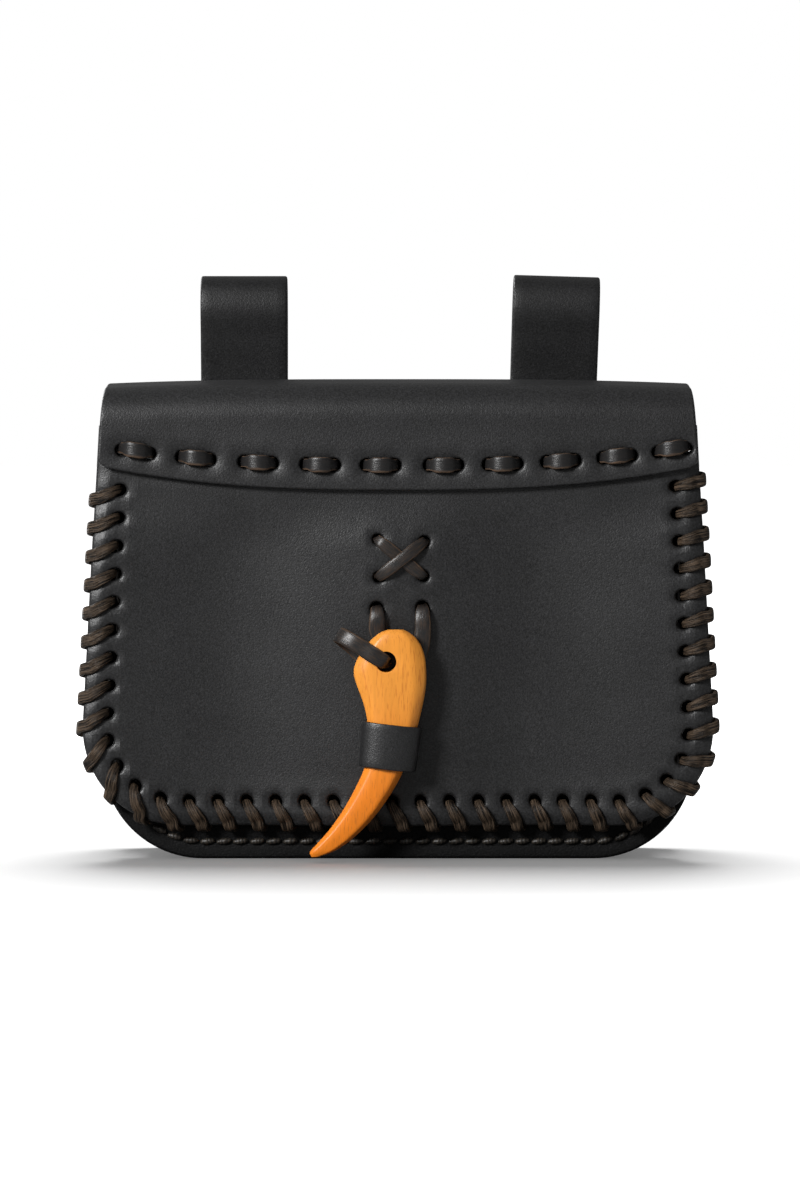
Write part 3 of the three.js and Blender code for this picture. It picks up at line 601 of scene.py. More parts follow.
def fibre_group():
    """Fibres along a strip, from its own UV map."""
    group, start, end = new_group(
        "lace_fibres",
        [("Around", "NodeSocketFloat", 40.0), ("Along", "NodeSocketFloat", 260.0)],
        [("Fibre", "NodeSocketFloat"), ("Side", "NodeSocketFloat")],
    )
    place = add_node(group, "ShaderNodeUVMap", uv_map="strip")
    apart = add_node(group, "ShaderNodeSeparateXYZ")
    across = times(group)
    lengthwise = times(group)
    joined = add_node(group, "ShaderNodeCombineXYZ")
    fibre = add_node(group, "ShaderNodeTexNoise", {"Scale": 1.0, "Detail": 4.0, "Roughness": 0.65})
    turn = times(group, 4 * math.pi)
    side = add_node(group, "ShaderNodeMath", operation="COSINE")
    connect(
        group,
        (place, "UV", apart, 0),
        (apart, "X", across, 0),
        (start, "Around", across, 1),
        (apart, "Y", lengthwise, 0),
        (start, "Along", lengthwise, 1),
        (across, 0, joined, "X"),
        (lengthwise, 0, joined, "Y"),
        (joined, 0, fibre, "Vector"),
        (apart, "X", turn, 0),
        (turn, 0, side, 0),
        (fibre, "Fac", end, "Fibre"),
        (side, 0, end, "Side"),
    )
    return group


def place_group(tree, group, values=()):
    node = tree.nodes.new("ShaderNodeGroup")
    node.node_tree = group
    for key, value in dict(values).items():
        node.inputs[key].default_value = value
    return node


def new_material(name):
    material = bpy.data.materials.new(name)
    material.use_nodes = True
    tree = material.node_tree
    return material, tree, tree.nodes["Principled BSDF"]


def ramp(tree, low, high, dark, light):
    """A colour ramp between two colours."""
    node = tree.nodes.new("ShaderNodeValToRGB")
    node.color_ramp.elements[0].position = low
    node.color_ramp.elements[0].color = dark
    node.color_ramp.elements[1].position = high
    node.color_ramp.elements[1].color = light
    return node


def toned(rgba, share):
    """A colour made darker or lighter."""
    return tuple(min(value * share, 1) for value in rgba[:3]) + (1,)


def black_leather(name, grain, pebble, strength, roughness, specular=0.5, depth=1.0):
    """Black leather with a fine grain, a soft sheen that varies and faint lighter patches. A depth under 1
    darkens this copy of it as painted shade.
    """
    material, tree, shader = new_material(name)
    base = toned(shade("leather"), depth)
    lighter = toned(base, 1.25)
    place = add_node(tree, "ShaderNodeTexCoord")
    detail = place_group(tree, grain, {"Pebble": pebble})
    tone = ramp(tree, 0.35, 0.75, base, lighter)
    speck = value_range(tree, 0.55, 1.15, 0.25, 1.9)
    tinted = add_node(tree, "ShaderNodeVectorMath", operation="MULTIPLY")
    gloss = value_range(tree, 0.3, 0.7, roughness - 0.02, roughness + 0.03)
    relief = bump(tree, strength, 0.0003)
    connect(
        tree,
        (place, "Object", detail, "Vector"),
        (detail, "Unevenness", tone, "Fac"),
        (detail, "Unevenness", gloss, "Value"),
        (detail, "Height", speck, "Value"),
        (tone, "Color", tinted, 0),
        (speck, "Result", tinted, 1),
        (tinted, "Vector", shader, "Base Color"),
        (gloss, "Result", shader, "Roughness"),
        (detail, "Height", relief, "Height"),
        (relief, "Normal", shader, "Normal"),
    )
    shader.inputs["Specular IOR Level"].default_value = specular
    return material


def rough_lace(name, fibres):
    """The brown rough side of a lace, with fibres along it."""
    material, tree, shader = new_material(name)
    base = shade("lace")
    detail = place_group(tree, fibres, {"Around": 34.0, "Along": 150.0})
    tone = ramp(tree, 0.42, 0.7, toned(base, 0.1), toned(base, 4.2))
    relief = bump(tree, 1.0, 0.0005)
    connect(
        tree,
        (detail, "Fibre", tone, "Fac"),
        (tone, "Color", shader, "Base Color"),
        (detail, "Fibre", relief, "Height"),
        (relief, "Normal", shader, "Normal"),
    )
    shader.inputs["Roughness"].default_value = 0.42
    shader.inputs["Specular IOR Level"].default_value = 0.18
    return material


def smooth_lace(name, fibres, fibre_share):
    """A lace with a smooth black face and raw brown edges."""
    material, tree, shader = new_material(name)
    flesh = shade("flesh")
    black = shade("leather")
    worn = tuple(blend(a, b, fibre_share) for a, b in zip(black, flesh))
    detail = place_group(tree, fibres, {"Around": 46.0, "Along": 320.0})
    edges = ramp(tree, 0.35, 0.7, toned(flesh, 0.2), toned(flesh, 1.5))
    face = ramp(tree, 0.42, 0.72, toned(black, 0.8), worn)
    ragged = add_node(tree, "ShaderNodeMath", {1: 0.9}, operation="MULTIPLY_ADD")
    mask = value_range(tree, 0.5, 0.85)
    colours = add_node(tree, "ShaderNodeMix", data_type="RGBA")
    gloss = value_range(tree, 0.0, 1.0, 0.36, 0.75)
    relief = bump(tree, 0.5, 0.0002)
    connect(
        tree,
        (detail, "Fibre", edges, "Fac"),
        (detail, "Fibre", face, "Fac"),
        (detail, "Fibre", ragged, 0),
        (detail, "Side", ragged, 2),
        (ragged, 0, mask, "Value"),
        (mask, "Result", colours, 0),
        (face, "Color", colours, 6),
        (edges, "Color", colours, 7),
        (colours, 2, shader, "Base Color"),
        (mask, "Result", gloss, "Value"),
        (gloss, "Result", shader, "Roughness"),
        (detail, "Fibre", relief, "Height"),
        (relief, "Normal", shader, "Normal"),
    )
    return material


def waxed_thread(name):
    """Twisted, waxed thread."""
    material, tree, shader = new_material(name)
    base = shade("thread")
    dark = toned(base, 0.3)
    place = add_node(tree, "ShaderNodeTexCoord")
    strands = add_node(tree, "ShaderNodeTexWave", {"Scale": 260.0, "Distortion": 7.0, "Detail": 3.0})
    tone = ramp(tree, 0.2, 0.8, dark, base)
    relief = bump(tree, 0.35, 0.0002)
    connect(
        tree,
        (place, "Object", strands, "Vector"),
        (strands, "Fac", tone, "Fac"),
        (tone, "Color", shader, "Base Color"),
        (strands, "Fac", relief, "Height"),
        (relief, "Normal", shader, "Normal"),
    )
    shader.inputs["Roughness"].default_value = 0.5
    return material


def orange_wood(name):
    """Satin wood, deeper orange towards the tip, with fine lengthwise bands and short dark grain marks."""
    material, tree, shader = new_material(name)
    base = shade("wood")
    deep = (base[0] * 1.04, base[1] * 0.74, base[2] * 0.36, 1)
    place = add_node(tree, "ShaderNodeTexCoord")
    apart = add_node(tree, "ShaderNodeSeparateXYZ")
    low = value_range(tree, 0.058, 0.018, smooth=True)
    turned = add_node(tree, "ShaderNodeMapping", {"Rotation": (0, math.radians(-9), 0), "Scale": (1, 1, 0.1)})
    marks = add_node(tree, "ShaderNodeTexNoise", {"Scale": 2400.0, "Detail": 2.0, "Roughness": 0.5})
    bands = add_node(tree, "ShaderNodeTexNoise", {"Scale": 700.0, "Detail": 3.0, "Roughness": 0.6})
    along = add_node(tree, "ShaderNodeMix", {0: 0.0, 6: base, 7: deep}, data_type="RGBA")
    bright = value_range(tree, 0.3, 0.7, 0.92, 1.07)
    streaked = add_node(tree, "ShaderNodeVectorMath", operation="MULTIPLY")
    spots = ramp(tree, 0.55, 0.68, (0, 0, 0, 1), (1, 1, 1, 1))
    colours = add_node(tree, "ShaderNodeMix", {7: shade("wood_dark")}, data_type="RGBA")
    faint = times(tree, 0.55)
    relief = bump(tree, 0.15, 0.0002, invert=True)
    connect(
        tree,
        (place, "Object", turned, "Vector"),
        (place, "Object", apart, 0),
        (apart, "Z", low, "Value"),
        (low, "Result", along, 0),
        (turned, "Vector", marks, "Vector"),
        (turned, "Vector", bands, "Vector"),
        (bands, "Fac", bright, "Value"),
        (along, 2, streaked, 0),
        (bright, "Result", streaked, 1),
        (marks, "Fac", spots, "Fac"),
        (spots, "Color", faint, 0),
        (faint, 0, colours, 0),
        (streaked, "Vector", colours, 6),
        (colours, 2, shader, "Base Color"),
        (faint, 0, relief, "Height"),
        (relief, "Normal", shader, "Normal"),
    )
    shader.inputs["Roughness"].default_value = 0.38
    shader.inputs["Specular IOR Level"].default_value = 0.35
    return material


# Each leather's pebbles, as the scale of their pattern, the strength of its relief and its roughness.
BODY_GRAIN = (2600.0, 0.26, 0.42)
POCKET_GRAIN = (2500.0, 0.5, 0.5)
STRAP_GRAIN = (2600.0, 0.26, 0.46)
RING_GRAIN = (3600.0, 0.22, 0.36)

MATERIALS = {}


def make_materials():
    grain, fibres = grain_group(), fibre_group()
    MATERIALS.update(
        body=black_leather("body_leather", grain, *BODY_GRAIN, specular=0.46),
        flap=black_leather("flap_leather", grain, *BODY_GRAIN, specular=0.46),
        # The pocket's leather is darkened to 0.3 with a weak sheen: painted shade under the overhanging flap.
        pocket=black_leather("pocket_leather_painted_shade", grain, *POCKET_GRAIN, specular=0.12, depth=0.3),
        # The belt loops' leather is darkened to 0.7: painted shade on the loops, which sit back behind the
        # lid's fold.
        strap=black_leather("strap_leather_painted_shade", grain, *STRAP_GRAIN, specular=0.38, depth=0.7),
        ring=black_leather("ring_leather", grain, *RING_GRAIN),
        edge_lace=rough_lace("edge_lace", fibres),
        face_lace=smooth_lace("running_lace", fibres, fibre_share=0.1),
        worn_lace=smooth_lace("worn_lace", fibres, fibre_share=0.5),
        thread=waxed_thread("sewing_thread"),
        wood=orange_wood("claw_wood"),
    )


# ---------------------------------------------------------------- panels

def lid_profile():
    """Rows along the back panel: distance along its outer face, y, z, and the turn of the way it looks."""
    quarter = math.pi / 2
    back_radius, front_radius = LID_BACK_RADIUS, LID_FRONT_RADIUS
    back_z, front_z = LID_TOP - back_radius, LID_TOP - front_radius
    back_y, front_y = BACK_FACE - back_radius, BAND_FACE + front_radius
    rows = [(BACK_FACE, 0.0, 0.0), (BACK_FACE, back_z, 0.0)]
    for i in range(1, 13):
        turn = quarter * i / 12
        rows.append((back_y + back_radius * math.cos(turn), back_z + back_radius * math.sin(turn), turn))
    for i in range(1, 12):
        share = i / 12
        crown = LID_CROWN * 4 * share * (1 - share)
        tilt = math.atan(LID_CROWN * 4 * (1 - 2 * share) / (back_y - front_y))
        rows.append((blend(back_y, front_y, share), LID_TOP + crown, quarter - tilt))
    for i in range(0, 15):
        turn = quarter * (1 + i / 14)
        rows.append((front_y + front_radius * math.cos(turn), front_z + front_radius * math.sin(turn), turn))
    rows.append((BAND_FACE, BAND_BOTTOM, math.pi))
    distance, profile = 0.0, [(0.0, *rows[0])]
    for a, b in zip(rows, rows[1:]):
        distance += math.dist(a[:2], b[:2])
        profile.append((distance, *b))
    return profile


def back_panel_shape(profile):
    """Where the points of the flat back panel go: up the back, over the fold and down the front."""
    distances = [row[0] for row in profile]
    lid_from = next(row[0] for row in profile if row[3] > 0) - LID_BACK_RADIUS
    band_from = next(row[0] for row in profile if row[3] >= math.pi)
    end = distances[-1]
    holes = [(x, z, 0.8) for x, z in running_holes()]
    holes += [(x, running_seam(x), 0.3) for x in RUNNING_X]

    def shape(x, travelled, depth):
        y, z, turn = (np.interp(travelled, distances, [row[i] for row in profile]) for i in (1, 2, 3))
        z = z - np.maximum(travelled - end, 0)
        down = ease((travelled - band_from) / (end - band_from))
        lid = ease((travelled - lid_from) / LID_BACK_RADIUS)
        droop = LID_DROOP * abs(x / LID_HALF) ** 3 * lid * (1 - down)
        inward = LEATHER / 2 - depth + np.where(travelled > band_from, dents(x, z, holes, 2.6), 0)
        return x, y - inward * np.cos(turn), z - droop - inward * np.sin(turn)

    return shape


def band_height(profile, z):
    """The distance along the flat back panel of a height on the band."""
    return profile[-1][0] + (BAND_BOTTOM - z)


def build_back_panel():
    profile = lid_profile()
    end = profile[-1][0]
    fold_from = profile[1][0]
    sides = [(LID_HALF, fold_from + 12), (LID_HALF, fold_from + 40)]
    lowest = end - (band_edge(BAND_HALF) - BAND_BOTTOM)
    sides += arc((BAND_HALF - BAND_CORNER, lowest - BAND_CORNER), BAND_CORNER, 0, 70, 5)
    columns = np.linspace(BAND_HALF - BAND_CORNER, -BAND_HALF + BAND_CORNER, 61)
    lower = [(x, band_height(profile, band_edge(x))) for x in columns]
    outline = sides_and_bottom(POUCH, fold_from) + sides + lower + [(-x, s) for x, s in reversed(sides)]
    holes = [circle((x, band_height(profile, z)), BAND_HOLE) for x, z in running_holes()]
    bm = leather_blank(outline, holes, rounding=0.7)
    band_from = profile[-2][0]

    def on_band(middle):
        return middle.y > band_from

    slice_up(bm, ACROSS, steps_between(-BAND_HALF, BAND_HALF, 2.6))
    slice_up(bm, LENGTHWISE, [row[0] for row in profile[1:-1]])
    slice_up(bm, LENGTHWISE, steps_between(30, fold_from, 12))
    slice_up(bm, ACROSS, steps_between(-BAND_HALF, BAND_HALF, 1.3)[::2], on_band)
    slice_up(bm, LENGTHWISE, steps_between(band_from, end, 1.1))
    bend(bm, back_panel_shape(profile))
    finish_piece("back_and_band", bm, MATERIALS["body"], ["back_panel"], panel=True)


def build_pocket():
    top = POCKET_HIGH.z
    outline = sides_and_bottom(POUCH, top - MOUTH_CORNER)
    centre = POUCH["half"] - MOUTH_CORNER
    outline += arc((centre, top - MOUTH_CORNER), MOUTH_CORNER, 0, 90, 6)[1:]
    outline += arc((-centre, top - MOUTH_CORNER), MOUTH_CORNER, 90, 180, 6)[:-1]
    bm = leather_blank(outline)
    seam = [(x, z, 0.35) for (x, z), _, _ in seam_stitches(top - MOUTH_CORNER)]

    def near_seam(middle):
        return edge_distance(POUCH, middle.x, middle.y) < SEAM_ALLOWANCE + 1

    slice_panel(bm, POUCH, top, (9, 9))
    slice_panel(bm, POUCH, top, (1.5, 1.5), near_seam)
    bend(bm, lambda x, z, depth: (x, POCKET_FACE + LEATHER / 2 - depth + dents(x, z, seam, 1.9), z))
    finish_piece("pocket", bm, MATERIALS["pocket"], ["pocket_front"], panel=True)


def seam_stitches(top):
    """The middle of each stitch of a seam round the pouch, the way it runs and its length."""
    path = sides_and_bottom(POUCH, top, SEAM_INSET)
    whole = path_length(path)
    count = round(whole / size("thread_pitch"))
    stitches = []
    for i in range(count):
        place, (out_x, out_z) = along(path, (i + 0.5) * whole / count)
        stitches.append((place, (-out_z, out_x), whole / count))
    return stitches


def build_gusset():
    """A channel round the sides and bottom, its edges turned out and sewn to the back and the pocket."""
    depth = GUSSET_HIGH.y - GUSSET_LOW.y
    soft = 3.0

    def side_of(reach, away, turn_radius):
        """One side of the channel's section as (inset, y), bent softly at its two corners."""
        inset = SEAM_ALLOWANCE + reach
        first = arc((inset - turn_radius, away + turn_radius), turn_radius, -90, 0, 6)
        last = arc((inset - turn_radius, depth - away - turn_radius), turn_radius, 0, 90, 6)
        return [(0.25, away), *first, *last, (0.25, depth - away)]

    outer = side_of(0, GUSSET_LEATHER, soft)
    inner = side_of(GUSSET_LEATHER, 0, soft + GUSSET_LEATHER)
    section = outer + inner[::-1]
    lines = [sides_and_bottom(POUCH, GUSSET_HIGH.z, inset, 14) for inset, _ in section]
    rings = [
        [(line[i][0], GUSSET_HIGH.y - y, line[i][1]) for line, (_, y) in zip(lines, section)]
        for i in range(len(lines[0]))
    ]
    finish_piece("gusset_channel", loft(rings), MATERIALS["body"], ["gusset"])


def edge_stitches():
    """The line of holes round the flap, the pitch along it, and where each stitch has its hole and turns."""
    path = sides_and_bottom(FLAP, FLAP["top"], EDGE_INSET)
    start = (FLAP["top"] - EDGE_FIRST) / math.cos(math.radians(FLAP["flare"]))
    count = bpy.context.scene.pouch_sizes.edge_stitches
    pitch = (path_length(path) - 2 * start) / (count - 1)
    stitches = []
    places = EDGE_STITCHES["place"]
    for i in range(count):
        share = i / (count - 1)
        lead, slip = (np.interp(share, places, EDGE_STITCHES[key]) for key in ("lead", "slip"))
        here = start + i * pitch + slip
        stitches.append((here, here + lead * pitch))
    return path, pitch, stitches


def flap_dents():
    """Where the laces pull the flap in: at their holes, and at the edge where a stitch goes over it."""
    path, _, stitches = edge_stitches()
    places = []
    for here, over in stitches:
        halfway = blend(here, over, 0.5)
        for distance, inward, depth in ((here, 0.3, 0.95), (halfway, -3.6, 0.3), (over, -6.8, 0.5)):
            (x, z), (out_x, out_z) = along(path, distance)
            places.append((x - out_x * inward, z - out_z * inward, depth))
    places += [(x, z, 0.7) for x, z in (*CROSS_HOLES.values(), TETHER_LEFT, TETHER_RIGHT)]
    return places


def flap_surface(x, z, pulled):
    """Depth of the flap's front with its rolled edge, its dents and the room it leaves for the band."""
    room = BAND_ROOM["depth"] * ease((z - BAND_ROOM["from"]) / BAND_ROOM["over"])
    return flap_face(x, z) + edge_roll(edge_distance(FLAP, x, z)) + dents(x, z, pulled, 1.8) + room


def build_flap():
    path, _, stitches = edge_stitches()
    holes = []
    for here, over in stitches:
        (x, z), _ = along(path, here)
        (to_x, to_z), (out_x, out_z) = along(path, over)
        way = Vector((to_x + out_x * EDGE_INSET - x, to_z + out_z * EDGE_INSET - z)).normalized()
        holes.append(oval((x, z), way, EDGE_HOLE["long"], EDGE_HOLE["wide"]))
    holes += [circle(place, RUNNING_HOLE, 16) for place in running_holes()]
    holes += [circle(place, CROSS_HOLE, 20) for place in CROSS_HOLES.values()]
    holes += [circle(place, TETHER_HOLE, 20) for place in (TETHER_LEFT, TETHER_RIGHT)]
    tilt = math.radians(RING_TILT)
    slit = []
    for x, z in ((-1, -1), (1, -1), (1, 1), (-1, 1)):
        across, upright = x * SLIT[0] / 2, z * SLIT[1] / 2
        slit.append((
            RING_CENTRE[0] + across * math.cos(tilt) + upright * math.sin(tilt),
            RING_CENTRE[1] - across * math.sin(tilt) + upright * math.cos(tilt),
        ))
    holes.append(slit)
    bm = leather_blank(sides_and_bottom(FLAP, FLAP["top"]), holes, rounding=0.75)

    def laced(middle):
        """Near the edge, the cross or the tether's holes."""
        in_field = abs(middle.x) < LACED_FIELD["half"] and LACED_FIELD["foot"] < middle.y < LACED_FIELD["top"]
        return edge_distance(FLAP, middle.x, middle.y) < LACED_BORDER or in_field

    slice_panel(bm, FLAP, FLAP["top"], (3, 4))
    slice_panel(bm, FLAP, FLAP["top"], (1.5, 1.5), laced)
    pulled = flap_dents()
    bend(bm, lambda x, z, depth: (x, flap_surface(x, z, pulled) + LEATHER / 2 - depth, z))
    finish_piece("laced_flap", bm, MATERIALS["flap"], ["front_flap"], panel=True)


# ---------------------------------------------------------------- belt loops

# The middle of the strap's thickness as y and z: from its sewn end up the back, over the belt and down.
LOOP_ROUTE = (
    (1.6, 97.6), (1.6, 119.6), (1.7, 139.6), (0.4, 153.6), (-2.2, 166.6), (-3.9, 177.4),
    (-1.7, 182.7), (3.6, 184.9), (8.9, 182.7), (11.2, 176.1), (11.4, 163.6), (10.4, 149.6),
    (8.2, 135.6), (5.4, 123.6), (4.5, 114.6), (4.35, 97.6),
)
LOOP_WIDTH = 28.0
LOOP_PIVOT = 141.6
LOOPS = (("belt_loop_left", -50.0, 0.0), ("belt_loop_right", 50.3, 1.7))


def build_belt_loop(name, x, lean):
    rows = smooth_rows([(0, BACK_FACE + y, z - LOOP_PIVOT) for y, z in LOOP_ROUTE], 6)
    places = [Vector(row) for row in rows]
    stations = []
    for i, place in enumerate(places):
        way = places[min(i + 1, len(places) - 1)] - places[max(i - 1, 0)]
        stations.append((*place, 0, -way.z, way.y, LOOP_WIDTH, LEATHER))
    bm = strip(stations, flat_section(LOOP_WIDTH, LEATHER, 0.7, across=10))
    turn = Matrix.Rotation(math.radians(lean), 4, "Y")
    bmesh.ops.transform(bm, matrix=Matrix.Translation((x, 0, LOOP_PIVOT)) @ turn, verts=bm.verts)
    finish_piece(name.replace("belt_loop", "loop_strap"), bm, MATERIALS["strap"], [name])


# ---------------------------------------------------------------- laces

def finish_lace(name, bm, material, node):
    """Finishes a lace, whose edges shade softly unless they are very sharp."""
    finish_piece(name, bm, MATERIALS[material], [node], sharp=LACE_SHARP)


def build_edge_lace():
    """The lace whipped round the flap: out of a hole, over the edge, and behind to the next hole."""
    path, pitch, stitches = edge_stitches()
    width, thickness = size("edge_lace"), 1.2
    rise = thickness / 2 + 0.1
    rear = LEATHER + rise
    pulled = flap_dents()
    rows = []

    def add(distance, inward, behind, out, back, wide):
        (x, z), (out_x, out_z) = along(path, distance)
        x += out_x * (EDGE_INSET - inward)
        z += out_z * (EDGE_INSET - inward)
        y = float(flap_surface(x, z, pulled)) + behind
        rows.append((x, y, z, out_x * out, back, out_z * out, wide, thickness))

    add(stitches[0][0] - pitch / 2, 1.2, rear, 0, 1, width)
    for here, over in stitches:
        add(here - 0.5, EDGE_INSET - 1.6, rear, 0, 1, width - 0.5)
        add(here - 0.3, EDGE_INSET - 0.35, LEATHER - 0.4, -1, 0.5, width - 1.1)
        add(here - 0.2, EDGE_INSET - 0.45, 0.9, -1, -0.25, width - 1.1)
        add(blend(here, over, 0.08), EDGE_INSET - 1.5, -0.35, -0.75, -1, width - 0.8)
        add(blend(here, over, 0.3), EDGE_INSET * 0.64, -rise - 0.3, -0.3, -1, width - 0.3)
        add(blend(here, over, 0.55), EDGE_INSET * 0.42, -rise - 0.55, 0, -1, width)
        add(blend(here, over, 0.82), 1.6, -rise - 0.1, 0.35, -1, width + 0.2)
        add(over, -0.75, -0.45, 1, -0.9, width)
        add(over + 0.5, -rise - 0.5, LEATHER / 2, 1, 0, width)
        add(over + 0.9, -0.85, LEATHER + 0.75, 1, 1.1, width)
        add(over + 1.4, 1.9, rear, 0, 1, width)
    bm = strip(smooth_rows(rows, 4), flat_section(width, thickness, 0.45, crown=0.45, steps=2, across=4))
    finish_lace("whipped_lace", bm, "edge_lace", "edge_lace")


def build_running_lace():
    """The lace that joins the band to the flap, in and out through both."""
    width, thickness = size("running_lace"), 1.3
    rise = thickness / 2 + 0.15
    front, rear = BAND_FACE - rise, FLAP_REAR + rise + 0.5
    rows = []

    def add(x, y, lean, wide):
        rows.append((x, y, running_seam(x), lean, 1, 0, wide, thickness))

    narrow = width - 1.2
    add(RUNNING_X[0] - RUNNING_REACH - 7, rear, 0, narrow)
    for middle in RUNNING_X:
        first, last = middle - RUNNING_REACH, middle + RUNNING_REACH
        add(first - 2.4, rear, 0, narrow)
        add(first - 0.5, FLAP_REAR - 0.5, 1.2, narrow)
        add(first - 0.5, BAND_FACE + 1.9, 2.2, narrow)
        add(first + 0.7, BAND_FACE + 0.2, 1.2, narrow)
        add(blend(first, middle, 0.5), front - 0.45, 0.6, width)
        add(middle, front - 1.05, 0, width)
        add(blend(last, middle, 0.5), front - 0.45, -0.6, width)
        add(last - 0.7, BAND_FACE + 0.2, -1.2, narrow)
        add(last + 0.5, BAND_FACE + 1.9, -2.2, narrow)
        add(last + 0.5, FLAP_REAR - 0.5, -1.2, narrow)
        add(last + 2.4, rear, 0, narrow)
    rows = smooth_rows(rows, 4)
    bm = strip(rows, flat_section(width, thickness, 0.4, steps=2, across=6))
    finish_lace("running_stitches", bm, "face_lace", "running_lace")


def build_cross_lace():
    """The crossed lace: one loop with two slanting strands in front and two upright ones behind."""
    width, thickness = size("cross_lace"), 1.1
    rise = thickness / 2 + 0.12
    rows = []

    def strand(start, end, front, over):
        (ax, az), (bx, bz) = CROSS_HOLES[start], CROSS_HOLES[end]
        stretch = math.dist((ax, az), (bx, bz))
        way = ((bx - ax) / stretch, (bz - az) / stretch)
        face = -1 if front else 1
        level = -rise if front else LEATHER + rise
        mouth = 0.4 if front else LEATHER - 0.4
        wide = width if front else width - 1.0

        def add(distance, depth, lean, this_wide):
            x, z = ax + way[0] * distance, az + way[1] * distance
            y = flap_face(x, z) + depth
            rows.append((x, y, z, way[0] * lean, face, way[1] * lean, this_wide, thickness))

        add(0, mouth, -1.6, width - 1.1)
        add(1.3, level + 0.1 * face, -0.5, width - 0.5)
        add(3.4, level + face * (0.35 + over * 0.4), -0.1, wide)
        add(stretch / 2, level + face * (0.25 + over), 0, wide)
        add(stretch - 3.4, level + face * (0.35 + over * 0.4), 0.1, wide)
        add(stretch - 1.3, level + 0.1 * face, 0.5, width - 0.5)
        add(stretch, mouth, 1.6, width - 1.1)

    strand("lower_left", "upper_right", True, 1.3)
    strand("upper_right", "lower_right", False, 0)
    strand("lower_right", "upper_left", True, 0)
    strand("upper_left", "lower_left", False, 0)
    section = flat_section(width, thickness, 0.4, crown=0.3, steps=2)
    bm = strip(smooth_rows(rows, 4, closed=True), section, closed=True)
    finish_lace("crossed_lace", bm, "worn_lace", "cross_lace")


def build_tether():
    """The tether: behind the flap from hole to hole, in front down to the claw and round its left edge."""
    width, thickness = size("tether_lace"), 1.3
    rise = thickness / 2 + 0.2
    eye_x, eye_z = CLAW_EYE
    left_x, left_z = TETHER_LEFT
    right_x, right_z = TETHER_RIGHT
    left_face, right_face = flap_face(left_x, left_z), flap_face(right_x, right_z)
    claw_back, claw_front = CLAW_HIGH.y, CLAW_LOW.y
    behind = claw_back + thickness / 2 + 0.4
    before = claw_front - rise
    narrow = 3.3
    rows = [
        (left_x, left_face + LEATHER + rise, left_z - 0.2, -0.6, 1, 0, narrow),
        (left_x, left_face + LEATHER / 2, left_z, 0, 0, 1, narrow),
        (left_x, left_face - 0.5, left_z - 0.4, 0, -0.8, 1, narrow + 0.6),
        (left_x + 0.1, left_face - rise - 0.7, left_z - 2.4, 0, -1, 0, width - 0.4),
        (left_x + 0.2, behind, left_z - 7.1, 0, -1, 0, width),
        (left_x + 1.6, behind, left_z - 10.5, 0, -1, 0.1, 4.6),
        (eye_x, behind + 0.1, eye_z + 2.6, 0.1, -1, 0.5, 3.8),
        (eye_x, claw_back - 0.3, eye_z + 0.4, 0.3, -0.6, 1, 3.6),
        (eye_x, CLAW_MIDDLE, eye_z, 0.6, 0, 0.7, 3.8),
        (eye_x, claw_front + 1.4, eye_z - 0.1, 0.7, 0, -0.4, 4.2),
        (eye_x - 0.6, claw_front - 0.2, eye_z + 0.2, 0.8, -0.6, -0.5, 4.7),
        (eye_x - 2.6, before - 0.3, eye_z + 1.4, 0, -1, 0, width),
        (eye_x - 7.0, before, eye_z + 4.2, 0, -1, 0, width),
        (eye_x - 11.2, before + 0.6, eye_z + 6.8, -0.2, -1, 0.1, width),
        (eye_x - 14.0, before + 2.6, eye_z + 8.2, -1, -0.7, 0.6, width),
        (eye_x - 14.8, CLAW_MIDDLE + 0.4, eye_z + 8.2, -1, 0, 0.6, width),
        (eye_x - 13.6, claw_back - 0.6, eye_z + 6.9, -1, 0.8, 0.6, width),
        (eye_x - 10.8, behind - 0.1, eye_z + 4.6, 0, 1, 0.1, width),
        (eye_x - 6.6, behind, eye_z + 0.2, 0, 1, 0, width),
        (eye_x - 2.4, behind, eye_z - 5.0, 0, 1, 0, 4.4),
        (eye_x + 3.0, behind, eye_z - 6.6, 0, 1, 0, 4.4),
        (eye_x + 8.2, behind, eye_z - 3.4, 0, 1, 0, 4.4),
        (eye_x + 11.0, behind, eye_z + 3.6, 0, 1, 0, width),
        (right_x + 0.1, behind, right_z - 7.4, 0, 1, 0, width),
        (right_x, right_face - rise - 0.7, right_z - 2.4, 0, 1, 0, width - 0.4),
        (right_x, right_face - 0.5, right_z - 0.4, 0, 0.8, -1, narrow + 0.6),
        (right_x, right_face + LEATHER / 2, right_z, 0, 0, -1, narrow),
        (right_x, right_face + LEATHER + rise, right_z - 0.2, 0.6, -1, 0, narrow),
    ]
    rows = smooth_rows([(*row, thickness) for row in rows], 5, closed=True)
    bm = strip(rows, flat_section(width, thickness, 0.45, crown=0.35, steps=2), closed=True)
    finish_lace("claw_tether", bm, "worn_lace", "tether_lace")


# ---------------------------------------------------------------- claw and ring

# The claw from its round head down to its tip: height, left and right side, and thickness.
CLAW_SECTIONS = (
    (73.9, -3.4, 1.8, 3.6), (73.2, -5.2, 3.2, 5.0), (71.8, -7.2, 5.1, 6.2), (69.7, -9.4, 6.8, 6.8),
    (67.0, -11.5, 8.0, 7.0), (63.8, -13.2, 8.7, 7.1), (60.8, -14.0, 8.9, 7.2), (57.6, -13.4, 8.9, 7.3),
    (53.2, -11.8, 8.4, 7.4), (48.4, -10.3, 7.4, 7.5), (43.4, -9.6, 6.2, 7.5), (37.2, -9.6, 4.6, 7.4),
    (30.2, -10.6, 2.1, 7.2), (26.0, -12.4, 0.1, 7.0), (20.9, -15.0, -3.0, 6.6), (15.2, -18.4, -7.1, 5.8),
    (9.6, -22.5, -12.4, 4.8), (5.8, -25.9, -17.0, 4.0), (3.2, -27.9, -21.6, 3.2), (2.1, -27.4, -25.0, 2.2),
)
